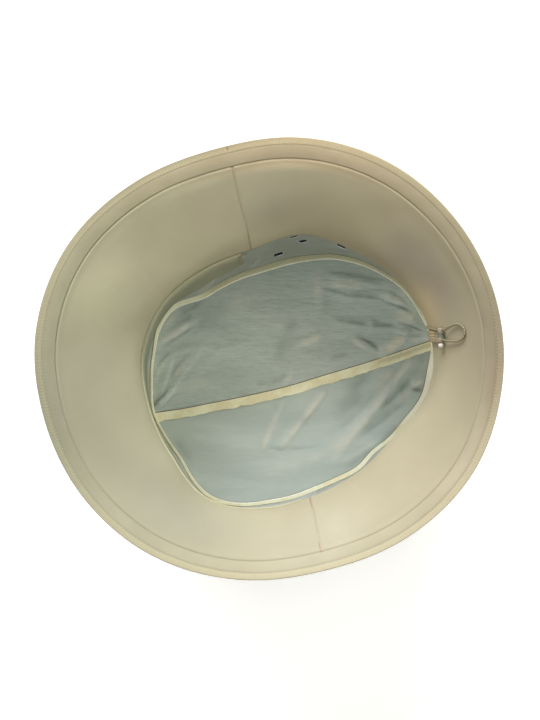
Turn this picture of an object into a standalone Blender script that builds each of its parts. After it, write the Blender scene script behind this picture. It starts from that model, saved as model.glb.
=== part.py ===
"""A wide-brimmed floppy sun hat, lying on its crown tip with the brim turned up.

Metres, +Z up. The front of the hat is at -Y and the drawcord at +Y. The wearer's left is at -X. The
origin is on the surface that the hat lies on, below the middle of the brim's outline.
"""

import math
from collections import namedtuple

import bmesh
import bpy
from mathutils import Matrix, Vector

# The outlines seen from above
HAT_LENGTH = 0.300
HAT_WIDTH = 0.284
OPENING_LENGTH = 0.194
OPENING_WIDTH = 0.168
OPENING_SIDE_SHIFT = 0.008
OPENING_BACK_SHIFT = 0.010
TIP_LENGTH = 0.202
TIP_WIDTH = 0.156
TIP_SIDE_SHIFT = 0.007
TIP_BACK_SHIFT = 0.014

# Heights: the crown's, and how far the brim's edge rises above the opening on each side
CROWN_HEIGHT = 0.092
WALL_BULGE = 0.003
RISE_FRONT = 0.034
RISE_BACK = 0.053
RISE_LEFT = 0.026
RISE_RIGHT = 0.048
NECK_HEIGHT = 0.003

# The brim's curve above its neck: how far out and up, as shares of its reach and rise, the neck's
# handle stands, and how far out the lip's does
STEEP_OUT = 0.05
STEEP_UP = 0.34
LIP_OUT = 0.60
BRIM_STEPS = 16

# Cloth walls and the gap that neighbouring pieces keep
CROWN_CLOTH = 0.0012
BRIM_CLOTH = 0.0020
HEM_CLOTH = 0.0026
BAND_CLOTH = 0.0010
TAPE_CLOTH = 0.0010
TAB_CLOTH = 0.0016
GAP = 0.0003

# Hem, sweatband and seam tapes
HEM_WIDTH = 0.0140
HEM_SHORE = 0.0020
BAND_DEPTH = 0.030
BAND_SPACE = 0.0006
CENTRE_TAPE_WIDTH = 0.0062
TIP_TAPE_WIDTH = 0.0058
TIP_TAPE_INSET = 0.0011
SEAM_SWAY = 0.0018

# Folds in the thin crown cloth
FOLD_WIDTH = 0.009
FOLD_HEIGHT = 0.003

# Vent slots
SLOT_LENGTH = 0.0072
SLOT_HEIGHT = 0.0076
SLOT_PITCH = 0.0172

# Drawcord, its tab and its lock. They lie in a frame of their own on the brim, which starts at the
# opening's edge at the cord's turn and leans to the right: lengths are ahead, to the left and off the
# cloth.
CORD_DIAMETER = 0.0014
CORD_LEAN = 14.4
TAB_LENGTH = 0.0136
TAB_WIDTH = 0.0076
TAB_START = 0.0034
LOCK_DIAMETER = 0.0042
LOCK_LENGTH = 0.0090
LOCK_ROUNDING = 0.0005
LOCK_AHEAD = 0.0214
LOCK_LEFT = 0.0012
LOCK_CLEARANCE = 0.0006
BORE_CLEARANCE = 0.0003
BUTTON_DIAMETER = 0.0037
BUTTON_STEM_DIAMETER = 0.0022
BUTTON_STEM = 0.0004
STRAND_SPACING = 0.0062

# Where the brim's side seams meet the opening and the brim's edge, in degrees from +X to +Y
SEAM_RIGHT_IN = -4.0
SEAM_RIGHT_OUT = 0.0
SEAM_LEFT_IN = 181.5
SEAM_LEFT_OUT = 176.5

# Where the sweatband begins and ends, and the turn that the drawcord leaves at
BAND_LEFT_END = 186.5
BAND_RIGHT_END = 353.0
CORD_TURN = 89.0

# Grid pieces of the faceted cloth
AROUND_HALF = 44
ACROSS_BRIM = 5
BELOW_BAND = 3
ALONG_TIP = 24
ACROSS_TIP = 9
AROUND_TAPE = 72

# Outlines at each turn, as shares of an ellipse with the named length and width. The lip is the share
# of the brim's rise that is left for its outer stretch, so a large one makes a steep edge.
Section = namedtuple("Section", "opening tip rim lip")
SECTIONS = (
    Section(opening=1.00, tip=1.015, rim=1.000, lip=0.24),
    Section(opening=0.99, tip=0.980, rim=1.020, lip=0.24),
    Section(opening=0.98, tip=0.940, rim=1.030, lip=0.20),
    Section(opening=1.015, tip=0.975, rim=1.010, lip=0.16),
    Section(opening=1.02, tip=1.015, rim=1.000, lip=0.24),
    Section(opening=1.01, tip=1.060, rim=1.005, lip=0.24),
    Section(opening=1.015, tip=1.070, rim=1.020, lip=0.18),
    Section(opening=1.06, tip=1.025, rim=1.020, lip=0.18),
    Section(opening=0.99, tip=0.980, rim=1.000, lip=0.26),
    Section(opening=1.00, tip=0.975, rim=1.015, lip=0.26),
    Section(opening=1.025, tip=1.060, rim=1.030, lip=0.26),
    Section(opening=1.01, tip=0.990, rim=1.020, lip=0.30),
    Section(opening=0.975, tip=0.955, rim=1.000, lip=0.38),
    Section(opening=0.99, tip=0.985, rim=1.005, lip=0.38),
    Section(opening=1.085, tip=1.100, rim=1.015, lip=0.22),
    Section(opening=1.06, tip=1.080, rim=1.010, lip=0.22),
)

# Folds on the tip: each runs between two places, given as shares of half the tip's width towards the
# right and half its length towards the back. Width and height are shares of the named fold.
TipFold = namedtuple("TipFold", "side along to_side to_along width height")
TIP_FOLDS = (
    TipFold(side=-0.30, along=0.62, to_side=-0.68, to_along=0.38, width=1.0, height=0.9),
    TipFold(side=-0.24, along=0.52, to_side=-0.42, to_along=0.10, width=0.9, height=0.6),
    TipFold(side=-0.60, along=-0.62, to_side=-0.70, to_along=-0.42, width=0.7, height=0.8),
    TipFold(side=0.30, along=0.02, to_side=0.56, to_along=-0.28, width=0.9, height=0.8),
    TipFold(side=0.36, along=0.24, to_side=0.60, to_along=-0.12, width=0.9, height=0.8),
    TipFold(side=0.32, along=0.66, to_side=0.62, to_along=0.38, width=1.0, height=1.0),
)

# Folds in the wall: each runs between two turns and two shares of the wall's height
WallFold = namedtuple("WallFold", "turn height to_turn to_height depth")
WALL_FOLDS = (
    WallFold(turn=207.0, height=0.20, to_turn=189.0, to_height=0.62, depth=1.0),
    WallFold(turn=118.0, height=0.25, to_turn=108.0, to_height=0.60, depth=0.7),
    WallFold(turn=62.0, height=0.25, to_turn=74.0, to_height=0.60, depth=0.7),
)

# How far the tip seam's tape leans up from the tip, in degrees, evenly set round the hat from +X
TAPE_LEAN = (26, 22, 20, 34, 66, 82, 84, 84, 84, 80, 56, 80, 82, 78, 70, 34)

# Rows of vent slots: the side, the first slot's turn, the way round and number of the slots, the first
# one's share of the wall's height, and how much higher each next one sits on the crumpled wall
Vents = namedtuple("Vents", "band first_turn way count height climb")
VENTS = (
    Vents(band="left", first_turn=162.0, way=-1, count=3, height=0.92, climb=0.00),
    Vents(band="left", first_turn=169.8, way=-1, count=2, height=0.39, climb=0.26),
    Vents(band="right", first_turn=-8.6, way=1, count=3, height=0.80, climb=0.00),
    Vents(band="right", first_turn=-3.0, way=1, count=2, height=0.56, climb=0.00),
)

# The drawcord's route over the brim, as places of its middle line in the cord's frame. The lift is how
# far it rises off the cloth besides its own radius and the gap.
CordPoint = namedtuple("CordPoint", "ahead left lift")
CORD_TO_LOCK = (
    CordPoint(ahead=-0.0004, left=0.0060, lift=0.0001),
    CordPoint(ahead=0.0035, left=0.0054, lift=0.0001),
    CordPoint(ahead=0.0080, left=0.0050, lift=0.0002),
    CordPoint(ahead=0.0125, left=0.0048, lift=0.0006),
    CordPoint(ahead=0.0160, left=0.0045, lift=0.0014),
)
CORD_LOOP = (
    CordPoint(ahead=0.0280, left=0.0053, lift=0.0010),
    CordPoint(ahead=0.0320, left=0.0065, lift=0.0003),
    CordPoint(ahead=0.0358, left=0.0072, lift=0.0001),
    CordPoint(ahead=0.0392, left=0.0066, lift=0.0001),
    CordPoint(ahead=0.0414, left=0.0047, lift=0.0001),
    CordPoint(ahead=0.0419, left=0.0024, lift=0.0001),
    CordPoint(ahead=0.0403, left=0.0004, lift=0.0001),
    CordPoint(ahead=0.0368, left=-0.0009, lift=0.0001),
    CordPoint(ahead=0.0325, left=-0.0015, lift=0.0003),
    CordPoint(ahead=0.0280, left=-0.0018, lift=0.0010),
)
CORD_TO_TAB = (
    CordPoint(ahead=0.0177, left=-0.0019, lift=0.0009),
)
CORD_STEPS = 3

# The brim's grid lines at the top of its neck and where its hem begins to be near
NECK_ROW = 0.1
SHORE_ROW = 0.95

WALL_START = CROWN_CLOTH
WALL_HEIGHT = CROWN_HEIGHT - GAP - WALL_START
BAND_SHARE = BAND_DEPTH / WALL_HEIGHT
TIP_CENTRE = Vector((TIP_SIDE_SHIFT, TIP_BACK_SHIFT, 0.0))
OPENING_CENTRE = Vector((OPENING_SIDE_SHIFT, OPENING_BACK_SHIFT, 0.0))


def eased(values, turn):
    """A value at any turn, on a smooth closed curve through values set evenly round the hat."""
    place = (turn % 360.0) / 360.0 * len(values)
    first = int(place)
    share = place - first
    before, here, after, beyond = (values[(first + step) % len(values)] for step in (-1, 0, 1, 2))
    rise = (after - before) / 2.0
    next_rise = (beyond - here) / 2.0
    gap = here - after
    return here + share * (rise + share * (-3 * gap - 2 * rise - next_rise
                                           + share * (2 * gap + rise + next_rise)))


def column(name):
    return [getattr(section, name) for section in SECTIONS]


def heading(turn):
    """The level direction at a turn, measured from +X to +Y."""
    return Vector((math.cos(math.radians(turn)), math.sin(math.radians(turn)), 0.0))


def outline(name, turn, length, width, centre):
    """A point on one of the named outlines, at the turn about its own centre."""
    way = heading(turn)
    radius = 1.0 / math.hypot(way.x * 2.0 / width, way.y * 2.0 / length)
    return centre + way * radius * eased(column(name), turn)


def tip_edge(turn, inset=0.0):
    return outline("tip", turn, TIP_LENGTH - 2 * inset, TIP_WIDTH - 2 * inset, TIP_CENTRE)


def opening_edge(turn):
    return outline("opening", turn, OPENING_LENGTH, OPENING_WIDTH, OPENING_CENTRE)


def rim_edge(turn):
    """The brim's outer edge, raised by the four named rises."""
    place = outline("rim", turn, HAT_LENGTH, HAT_WIDTH, Vector((0.0, 0.0, 0.0)))
    way = heading(turn)
    mean = (RISE_FRONT + RISE_BACK + RISE_LEFT + RISE_RIGHT) / 4.0
    across = (RISE_RIGHT - RISE_LEFT) / 2.0
    along = (RISE_BACK - RISE_FRONT) / 2.0
    saddle = (RISE_RIGHT + RISE_LEFT - RISE_FRONT - RISE_BACK) / 4.0
    rise = mean + across * way.x + along * way.y + saddle * (way.x ** 2 - way.y ** 2)
    place.z = CROWN_HEIGHT + rise
    return place


def near_line(place, start, end, reach):
    """One on the line between two places, easing to nothing at the reach from it."""
    run = end - start
    share = max(0.0, min(1.0, (place - start).dot(run) / run.length_squared))
    away = (place - start - run * share).length / reach
    return (1.0 - away * away) ** 2 if away < 1.0 else 0.0


def tip_fold(place):
    """How far the tip's cloth stands up from the surface that it lies on."""
    height = 0.0
    for fold in TIP_FOLDS:
        start = Vector((fold.side * TIP_WIDTH / 2, fold.along * TIP_LENGTH / 2))
        end = Vector((fold.to_side * TIP_WIDTH / 2, fold.to_along * TIP_LENGTH / 2))
        share = near_line((place - TIP_CENTRE).xy, start, end, FOLD_WIDTH * fold.width)
        height = max(height, FOLD_HEIGHT * fold.height * share)
    return height


def wall_fold(turn, height):
    """How far a fold pushes the wall in."""
    depth = 0.0
    arc = math.radians(1.0) * OPENING_WIDTH / 2
    for fold in WALL_FOLDS:
        start = Vector((fold.turn * arc, fold.height * CROWN_HEIGHT))
        end = Vector((fold.to_turn * arc, fold.to_height * CROWN_HEIGHT))
        place = Vector((turn * arc, height * CROWN_HEIGHT))
        depth = max(depth, FOLD_HEIGHT * fold.depth * near_line(place, start, end, FOLD_WIDTH))
    return depth


def wall_point(turn, height):
    """The side wall's inner face, from the tip seam at height 0 to the opening at 1."""
    place = tip_edge(turn).lerp(opening_edge(turn), height)
    place += heading(turn) * (WALL_BULGE * math.sin(math.pi * height) - wall_fold(turn % 360, height))
    place.z = WALL_START + WALL_HEIGHT * height
    return place


def brim_path(turn_in, turn_out):
    """The brim's inner face from the opening to its edge: a short upright neck, then one smooth curve."""
    low = opening_edge(turn_in)
    low.z = CROWN_HEIGHT
    neck = low + Vector((0.0, 0.0, NECK_HEIGHT))
    edge = rim_edge(turn_out)
    lip = eased(column("lip"), turn_out)

    def handle(out, up):
        place = neck.lerp(edge, out)
        place.z = neck.z + (edge.z - neck.z) * up
        return place

    steep, flat = handle(STEEP_OUT, STEEP_UP), handle(LIP_OUT, 1.0 - lip)
    path = [low]
    for step in range(BRIM_STEPS + 1):
        b = step / BRIM_STEPS
        a = 1.0 - b
        path.append(a ** 3 * neck + 3 * a * a * b * steep + 3 * a * b * b * flat + b ** 3 * edge)
    return path


def even(rows):
    return [row / rows for row in range(rows + 1)]


def path_length(path):
    return sum((b - a).length for a, b in zip(path, path[1:]))


def walk(path, distance):
    """The point at a distance along a path, which runs on straight past its ends."""
    for a, b in zip(path, path[1:-1]):
        run = (b - a).length
        if distance <= run:
            return a.lerp(b, distance / run)
        distance -= run
    a, b = path[-2], path[-1]
    return a.lerp(b, distance / (b - a).length)


def brim_turns(part, share):
    """The turns at the opening and at the edge, a share of the way round one half of the brim."""
    starts = {"back": (SEAM_RIGHT_IN, SEAM_RIGHT_OUT, SEAM_LEFT_IN, SEAM_LEFT_OUT),
              "front": (SEAM_LEFT_IN, SEAM_LEFT_OUT, SEAM_RIGHT_IN + 360, SEAM_RIGHT_OUT + 360)}
    first_in, first_out, last_in, last_out = starts[part]
    half_gap_in = math.degrees(GAP / OPENING_WIDTH)
    half_gap_out = math.degrees(GAP / HAT_WIDTH)
    first_in, last_in = first_in + half_gap_in, last_in - half_gap_in
    first_out, last_out = first_out + half_gap_out, last_out - half_gap_out
    return first_in + (last_in - first_in) * share, first_out + (last_out - first_out) * share


def cord_cloth(left, ahead):
    """The brim's inner face in the drawcord's frame."""
    lean = math.radians(CORD_LEAN)
    across = left * math.cos(lean) - ahead * math.sin(lean)
    out = ahead * math.cos(lean) + left * math.sin(lean)
    turn = CORD_TURN + math.degrees(across / (OPENING_LENGTH / 2))
    share = (turn - SEAM_RIGHT_IN) / (SEAM_LEFT_IN - SEAM_RIGHT_IN)
    return walk(brim_path(*brim_turns("back", share)), out)


def raised(surface, lift):
    """The same surface, lifted to the inner side of the hat."""
    def place(a, b):
        step = 1e-4
        along = surface(a + step, b) - surface(a - step, b)
        up = surface(a, b + step) - surface(a, b - step)
        return surface(a, b) - along.cross(up).normalized() * lift
    return place


def material(name, colour, roughness):
    made = bpy.data.materials.new(name)
    made.use_nodes = True
    made.diffuse_color = (*colour, 1.0)
    shader = made.node_tree.nodes["Principled BSDF"]
    shader.inputs["Base Color"].default_value = (*colour, 1.0)
    shader.inputs["Roughness"].default_value = roughness
    shader.inputs["Metallic"].default_value = 0.0
    return made


def put(name, mesh, collection, finish=None):
    made = bpy.data.objects.new(name, mesh)
    collection.objects.link(made)
    if finish:
        mesh.materials.append(finish)
    return made


def shade(mesh):
    mesh.shade_smooth()
    mesh.set_sharp_from_angle(angle=math.radians(40))


def cloth(name, surface, columns, rows, wall, side, collection, finish, ring=False):
    """A grid of cloth laid on a surface and given its wall: side 1 grows out of the hat, -1 into it.

    Columns and rows are the shares of the surface's two ways that the grid's lines take.
    """
    sheet = bmesh.new()
    wide, high = len(columns) - 1, len(rows) - 1
    bmesh.ops.create_grid(sheet, x_segments=wide, y_segments=high, size=1.0)
    for corner in sheet.verts:
        corner.co = surface(columns[round((corner.co.x + 1) / 2 * wide)],
                            rows[round((corner.co.y + 1) / 2 * high)])
    if ring:
        bmesh.ops.remove_doubles(sheet, verts=sheet.verts, dist=1e-6)
    mesh = bpy.data.meshes.new(name)
    sheet.to_mesh(mesh)
    sheet.free()
    shade(mesh)
    made = put(name, mesh, collection, finish)
    solid = made.modifiers.new("wall", "SOLIDIFY")
    solid.thickness = wall
    solid.offset = side
    solid.use_even_offset = True
    return made


def make_tip(parts, finish):
    """Two half discs that meet along the swaying centre seam and lie flat but for their folds."""
    for name, side in (("tip_panel_left", -1), ("tip_panel_right", 1)):
        edge = TIP_LENGTH / 2
        off = math.degrees(GAP / 2 / edge)

        def rim(turn_from_side):
            turn = (0.0 if side > 0 else 180.0) + side * turn_from_side
            return tip_edge(turn, GAP)

        front, back = rim(-90 + off), rim(90 - off)
        front_corner, back_corner = rim(-45), rim(45)

        def seam(share):
            place = front.lerp(back, share)
            place.x += SEAM_SWAY * math.sin(math.pi * (1 - 2 * share))
            return place

        def panel(share, out):
            along = share if side < 0 else 1.0 - share
            rows = seam(along).lerp(rim(-45 + 90 * along), out)
            start = rim(-90 + off + (45 - off) * out)
            end = rim(90 - off - (45 - off) * out)
            ends = start.lerp(end, along)
            corners = front.lerp(back, along).lerp(front_corner.lerp(back_corner, along), out)
            place = rows + ends - corners
            place.z = tip_fold(place)
            return place

        cloth(name, panel, even(ALONG_TIP), even(ACROSS_TIP), CROWN_CLOTH, 1, parts, finish)


def slot_cutters(band, cutters):
    """Rounded bars that cut one band's vent slots through its wall."""
    made = []
    pitch = math.degrees(SLOT_PITCH / ((OPENING_WIDTH + OPENING_LENGTH) / 4))
    for row in (vents for vents in VENTS if vents.band == band):
        for count in range(row.count):
            turn = row.first_turn + row.way * count * pitch
            height = row.height + count * row.climb
            middle = wall_point(turn, height)
            along = (wall_point(turn + 1, height) - wall_point(turn - 1, height)).normalized()
            up = (wall_point(turn, height + 0.02) - middle).normalized()
            through = along.cross(up).normalized()
            up = through.cross(along)
            bar = bmesh.new()
            bmesh.ops.create_cone(bar, cap_ends=True, segments=8, radius1=0.5, radius2=0.5,
                                  depth=8 * CROWN_CLOTH,
                                  matrix=Matrix.Rotation(math.radians(22.5), 4, "Z"))
            place = Matrix((along * SLOT_LENGTH, up * SLOT_HEIGHT, through)).transposed().to_4x4()
            place.translation = middle + through * CROWN_CLOTH / 2
            bmesh.ops.transform(bar, matrix=place, verts=bar.verts)
            mesh = bpy.data.meshes.new(f"slot_{band}")
            bar.to_mesh(mesh)
            bar.free()
            cutter = put(f"slot_{band}_{len(made)}", mesh, cutters)
            cutter.hide_render = True
            cutter.display_type = "WIRE"
            made.append(cutter)
    return made


def make_walls(parts, cutters, finish):
    """The crown's side wall in two halves, from the tip seam to the opening."""
    off = math.degrees(GAP / TIP_LENGTH)
    for band, start in (("left", 90.0), ("right", -90.0)):
        def wall(share, height, start=start):
            return wall_point(start + off + (180 - 2 * off) * share, height)

        rows = [height * (1.0 - BAND_SHARE) for height in even(BELOW_BAND)] + [1.0 - BAND_SHARE / 2, 1.0]
        made = cloth(f"side_band_{band}", wall, even(AROUND_HALF), rows, CROWN_CLOTH, 1, parts, finish)
        for cutter in slot_cutters(band, cutters):
            cut = made.modifiers.new("slot", "BOOLEAN")
            cut.operation = "DIFFERENCE"
            cut.object = cutter


def make_sweatband(parts, finish):
    """The band inside the front half of the opening. Its grid follows the wall's, so that it clears it."""
    spread = BAND_RIGHT_END - BAND_LEFT_END

    def band(share, up):
        return wall_point(BAND_LEFT_END + spread * share, 1.0 - BAND_SHARE * (1.0 - up))

    walls = [270.0 + 180.0 * step / AROUND_HALF for step in range(-AROUND_HALF, AROUND_HALF)]
    columns = [0.0, *((turn - BAND_LEFT_END) / spread for turn in walls
                      if BAND_LEFT_END < turn < BAND_RIGHT_END), 1.0]
    cloth("front_sweatband", raised(band, BAND_SPACE), columns, even(2), BAND_CLOTH, -1, parts, finish)


def make_tapes(parts, finish):
    """The bound seam allowances: a leaning ring round the tip, and a flat strip on the centre seam."""
    level = CROWN_CLOTH + GAP + TAPE_CLOTH / 2

    def lean_at(turn):
        return math.radians(eased(TAPE_LEAN, turn))

    def ring(share, up):
        turn = 360.0 * share
        lean = lean_at(turn)
        inward = TIP_TAPE_WIDTH * up * math.cos(lean)
        place = tip_edge(turn, TIP_TAPE_INSET + TAPE_CLOTH / 2 + inward)
        place.z = level + TIP_TAPE_WIDTH * up * math.sin(lean)
        return place

    cloth("tip_seam_tape", ring, even(AROUND_TAPE), even(1), TAPE_CLOTH, 0, parts, finish, ring=True)

    def end(turn):
        reach = TIP_TAPE_WIDTH * math.cos(lean_at(turn))
        return tip_edge(turn, TIP_TAPE_INSET + 2 * TAPE_CLOTH + reach + GAP)

    front, back = end(270), end(90)

    def strip(along, across):
        place = front.lerp(back, along)
        share = (place.y - TIP_BACK_SHIFT) / TIP_LENGTH + 0.5
        place.x = TIP_SIDE_SHIFT + SEAM_SWAY * math.sin(math.pi * (1 - 2 * share))
        place.x += GAP + CENTRE_TAPE_WIDTH * across
        place.z = CROWN_CLOTH + GAP
        return place

    cloth("centre_seam_tape", strip, even(ALONG_TIP), even(1), TAPE_CLOTH, -1, parts, finish)


def make_brim(parts, finish):
    """Each half of the brim with its hem channel round the edge."""
    for part in ("front", "back"):
        def brim(share, out, part=part):
            path = brim_path(*brim_turns(part, share))
            hem_start = path_length(path) - HEM_WIDTH
            if out <= NECK_ROW:
                return walk(path, NECK_HEIGHT * out / NECK_ROW)
            middle = hem_start - HEM_SHORE - NECK_HEIGHT
            if out <= SHORE_ROW:
                return walk(path, NECK_HEIGHT + middle * (out - NECK_ROW) / (SHORE_ROW - NECK_ROW))
            return walk(path, hem_start - HEM_SHORE * (1.0 - out) / (1.0 - SHORE_ROW))

        def hem(share, out, part=part):
            path = brim_path(*brim_turns(part, share))
            return walk(path, path_length(path) - (HEM_WIDTH - GAP) * (1.0 - out))

        proud = (HEM_CLOTH - BRIM_CLOTH) / 2
        middle = [NECK_ROW + (SHORE_ROW - NECK_ROW) * share for share in even(ACROSS_BRIM)]
        rows = [0.0, *middle, 1.0]
        cloth(f"brim_{part}", brim, even(AROUND_HALF), rows, BRIM_CLOTH, 1, parts, finish)
        rows = (0.0, HEM_SHORE / HEM_WIDTH, 1.0)
        cloth(f"hem_{part}", raised(hem, proud), even(AROUND_HALF), rows, HEM_CLOTH, 1, parts, finish)


def make_tab(parts, finish):
    """The small stitched tab that the drawcord's lower strand comes out of."""
    def tab(across, out):
        return cord_cloth(TAB_WIDTH * (across - 0.5), TAB_START + TAB_LENGTH * out)

    cloth("cord_tab", raised(tab, GAP), even(5), even(5), TAB_CLOTH, -1, parts, finish)


def lock_frame():
    """The lock's place: X along its barrel to the right, Y ahead along the cloth and Z off the cloth."""
    over = raised(cord_cloth, LOCK_DIAMETER / 2 + LOCK_CLEARANCE)
    reach = LOCK_DIAMETER / 2
    along = over(LOCK_LEFT - reach, LOCK_AHEAD) - over(LOCK_LEFT + reach, LOCK_AHEAD)
    ahead = over(LOCK_LEFT, LOCK_AHEAD + reach) - over(LOCK_LEFT, LOCK_AHEAD - reach)
    along.normalize()
    off = along.cross(ahead).normalized()
    frame = Matrix((along, off.cross(along), off)).transposed().to_4x4()
    frame.translation = over(LOCK_LEFT, LOCK_AHEAD)
    return frame


def cord_line():
    """The drawcord's middle line, as closely set points of a smooth curve through its route."""
    frame = lock_frame()

    def on_cloth(rows):
        return [raised(cord_cloth, CORD_DIAMETER / 2 + GAP + row.lift)(row.left, row.ahead) for row in rows]

    def through_lock(side, way):
        reach = LOCK_DIAMETER / 2 + BORE_CLEARANCE
        return [frame @ Vector((side * STRAND_SPACING / 2, way * reach * step, 0.0)) for step in (-1, 0, 1)]

    route = (on_cloth(CORD_TO_LOCK) + through_lock(-1, 1) + on_cloth(CORD_LOOP)
             + through_lock(1, -1) + on_cloth(CORD_TO_TAB))
    route = [2 * route[0] - route[1], *route, 2 * route[-1] - route[-2]]
    line = []
    for a, b, c, d in zip(route, route[1:], route[2:], route[3:]):
        for step in range(CORD_STEPS):
            s = step / CORD_STEPS
            line.append(0.5 * (2 * b + (c - a) * s + (2 * a - 5 * b + 4 * c - d) * s * s
                               + (3 * b - a - 3 * c + d) * s ** 3))
    line.append(route[-2])
    return line


def make_cord(parts, finish):
    curve = bpy.data.curves.new("drawcord", "CURVE")
    curve.dimensions = "3D"
    curve.bevel_depth = CORD_DIAMETER / 2
    curve.bevel_resolution = 2
    curve.use_fill_caps = True
    spline = curve.splines.new("POLY")
    line = cord_line()
    spline.points.add(len(line) - 1)
    for point, place in zip(spline.points, line):
        point.co = (*place, 1.0)
    put("drawcord", curve, parts, finish)


def make_lock(parts, cutters, finish):
    """A small barrel with a bore for each strand, and the pressed button at its right end."""
    frame = lock_frame()
    turn = Matrix.Rotation(math.radians(90), 4, "Y")
    barrel = bmesh.new()
    bmesh.ops.create_cone(barrel, cap_ends=True, segments=16, radius1=LOCK_DIAMETER / 2,
                          radius2=LOCK_DIAMETER / 2, depth=LOCK_LENGTH, matrix=turn)
    mesh = bpy.data.meshes.new("cord_lock")
    barrel.to_mesh(mesh)
    barrel.free()
    shade(mesh)
    lock = put("cord_lock", mesh, parts, finish)
    lock.matrix_world = frame
    rounding = lock.modifiers.new("rounding", "BEVEL")
    rounding.width = LOCK_ROUNDING
    rounding.segments = 1
    rounding.limit_method = "ANGLE"
    for side in (-1, 1):
        bore = bmesh.new()
        radius = CORD_DIAMETER / 2 + BORE_CLEARANCE
        bmesh.ops.create_cone(bore, cap_ends=True, segments=12, radius1=radius, radius2=radius,
                              depth=2 * LOCK_DIAMETER, matrix=Matrix.Rotation(math.radians(90), 4, "X"))
        mesh = bpy.data.meshes.new("lock_bore")
        bore.to_mesh(mesh)
        bore.free()
        cutter = put(f"lock_bore_{side}", mesh, cutters)
        cutter.matrix_world = frame @ Matrix.Translation((side * STRAND_SPACING / 2, 0.0, 0.0))
        cutter.hide_render = True
        cutter.display_type = "WIRE"
        cut = lock.modifiers.new("bore", "BOOLEAN")
        cut.operation = "DIFFERENCE"
        cut.object = cutter
    return frame


def make_button(frame, parts, finish):
    """The button: a short stem and a ball, turned about the lock's axis."""
    ball = BUTTON_DIAMETER / 2
    stem = BUTTON_STEM_DIAMETER / 2
    profile = [(0.0, 0.0), (stem, 0.0), (stem, BUTTON_STEM)]
    steps = 5
    first = math.asin(stem / ball)
    middle = BUTTON_STEM + ball * math.cos(first)
    for step in range(1, steps + 1):
        angle = first + (math.pi - first) * step / steps
        profile.append((ball * math.sin(angle), middle - ball * math.cos(angle)))
    turned = bmesh.new()
    corners = [turned.verts.new((radius, 0.0, height)) for radius, height in reversed(profile)]
    for a, b in zip(corners, corners[1:]):
        turned.edges.new((a, b))
    mesh = bpy.data.meshes.new("cord_lock_button")
    turned.to_mesh(mesh)
    turned.free()
    button = put("cord_lock_button", mesh, parts, finish)
    spin = button.modifiers.new("turning", "SCREW")
    spin.steps = 12
    spin.render_steps = 12
    spin.use_merge_vertices = True
    spin.merge_threshold = 1e-5
    spin.use_smooth_shade = True
    button.matrix_world = (frame @ Matrix.Translation((LOCK_LENGTH / 2 + GAP, 0.0, 0.0))
                           @ Matrix.Rotation(math.radians(90), 4, "Y"))


def main():
    for old in list(bpy.data.objects):
        bpy.data.objects.remove(old)
    parts = bpy.data.collections.new("floppy_hat")
    cutters = bpy.data.collections.new("cutters")
    for collection in (parts, cutters):
        bpy.context.scene.collection.children.link(collection)
    khaki = material("brim_cloth", (0.48, 0.44, 0.31), 0.85)
    crown = material("crown_cloth", (0.27, 0.31, 0.26), 0.7)
    tape = material("seam_tape", (0.70, 0.67, 0.50), 0.8)
    satin = material("sweatband", (0.24, 0.23, 0.16), 0.5)
    cord = material("cord", (0.50, 0.46, 0.30), 0.7)
    plastic = material("cord_lock", (0.78, 0.76, 0.70), 0.35)
    make_tip(parts, crown)
    make_walls(parts, cutters, crown)
    make_sweatband(parts, satin)
    make_tapes(parts, tape)
    make_brim(parts, khaki)
    make_tab(parts, khaki)
    make_cord(parts, cord)
    frame = make_lock(parts, cutters, plastic)
    make_button(frame, parts, plastic)


main()
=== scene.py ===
"""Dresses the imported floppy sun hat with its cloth, seams, stitches and drawcord, and lights it.

Metres, +Z up. The front of the hat is at -Y and the drawcord at +Y. The wearer's left is at -X. The
hat lies on its crown tip, so the camera looks into the crown and onto the underside of the brim.
"""

import math
from collections import namedtuple
from contextlib import contextmanager

import bpy
import numpy as np
from bpy.props import FloatProperty, FloatVectorProperty, PointerProperty
from bpy.types import Operator, Panel, PropertyGroup
from mathutils import Matrix, Vector


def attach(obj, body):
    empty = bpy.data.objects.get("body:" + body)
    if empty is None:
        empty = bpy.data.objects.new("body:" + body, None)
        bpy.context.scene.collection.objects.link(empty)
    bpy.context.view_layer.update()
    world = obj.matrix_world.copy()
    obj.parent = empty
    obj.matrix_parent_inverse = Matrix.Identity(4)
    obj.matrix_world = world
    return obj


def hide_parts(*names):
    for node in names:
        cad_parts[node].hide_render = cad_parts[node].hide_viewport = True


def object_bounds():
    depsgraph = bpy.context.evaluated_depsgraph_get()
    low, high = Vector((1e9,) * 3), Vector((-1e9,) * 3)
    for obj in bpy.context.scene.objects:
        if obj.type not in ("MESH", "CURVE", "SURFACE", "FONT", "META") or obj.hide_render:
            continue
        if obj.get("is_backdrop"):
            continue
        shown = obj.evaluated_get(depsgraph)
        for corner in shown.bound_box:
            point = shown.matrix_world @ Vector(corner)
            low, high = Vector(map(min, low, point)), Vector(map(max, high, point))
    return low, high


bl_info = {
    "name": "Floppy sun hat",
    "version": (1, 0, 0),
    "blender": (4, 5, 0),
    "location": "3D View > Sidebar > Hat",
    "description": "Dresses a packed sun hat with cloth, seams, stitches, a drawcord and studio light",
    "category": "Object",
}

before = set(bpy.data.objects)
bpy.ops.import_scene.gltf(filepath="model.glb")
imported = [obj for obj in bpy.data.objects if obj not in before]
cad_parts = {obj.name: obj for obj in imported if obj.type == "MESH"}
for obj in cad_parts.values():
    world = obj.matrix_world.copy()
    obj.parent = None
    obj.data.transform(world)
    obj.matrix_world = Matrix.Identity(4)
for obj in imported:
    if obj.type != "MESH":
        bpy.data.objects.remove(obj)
CAD_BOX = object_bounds()

MM = 0.001


def each(kind, *rows):
    """A table's rows, each made with one kind of record."""
    return tuple(kind(*row) for row in rows)


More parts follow.
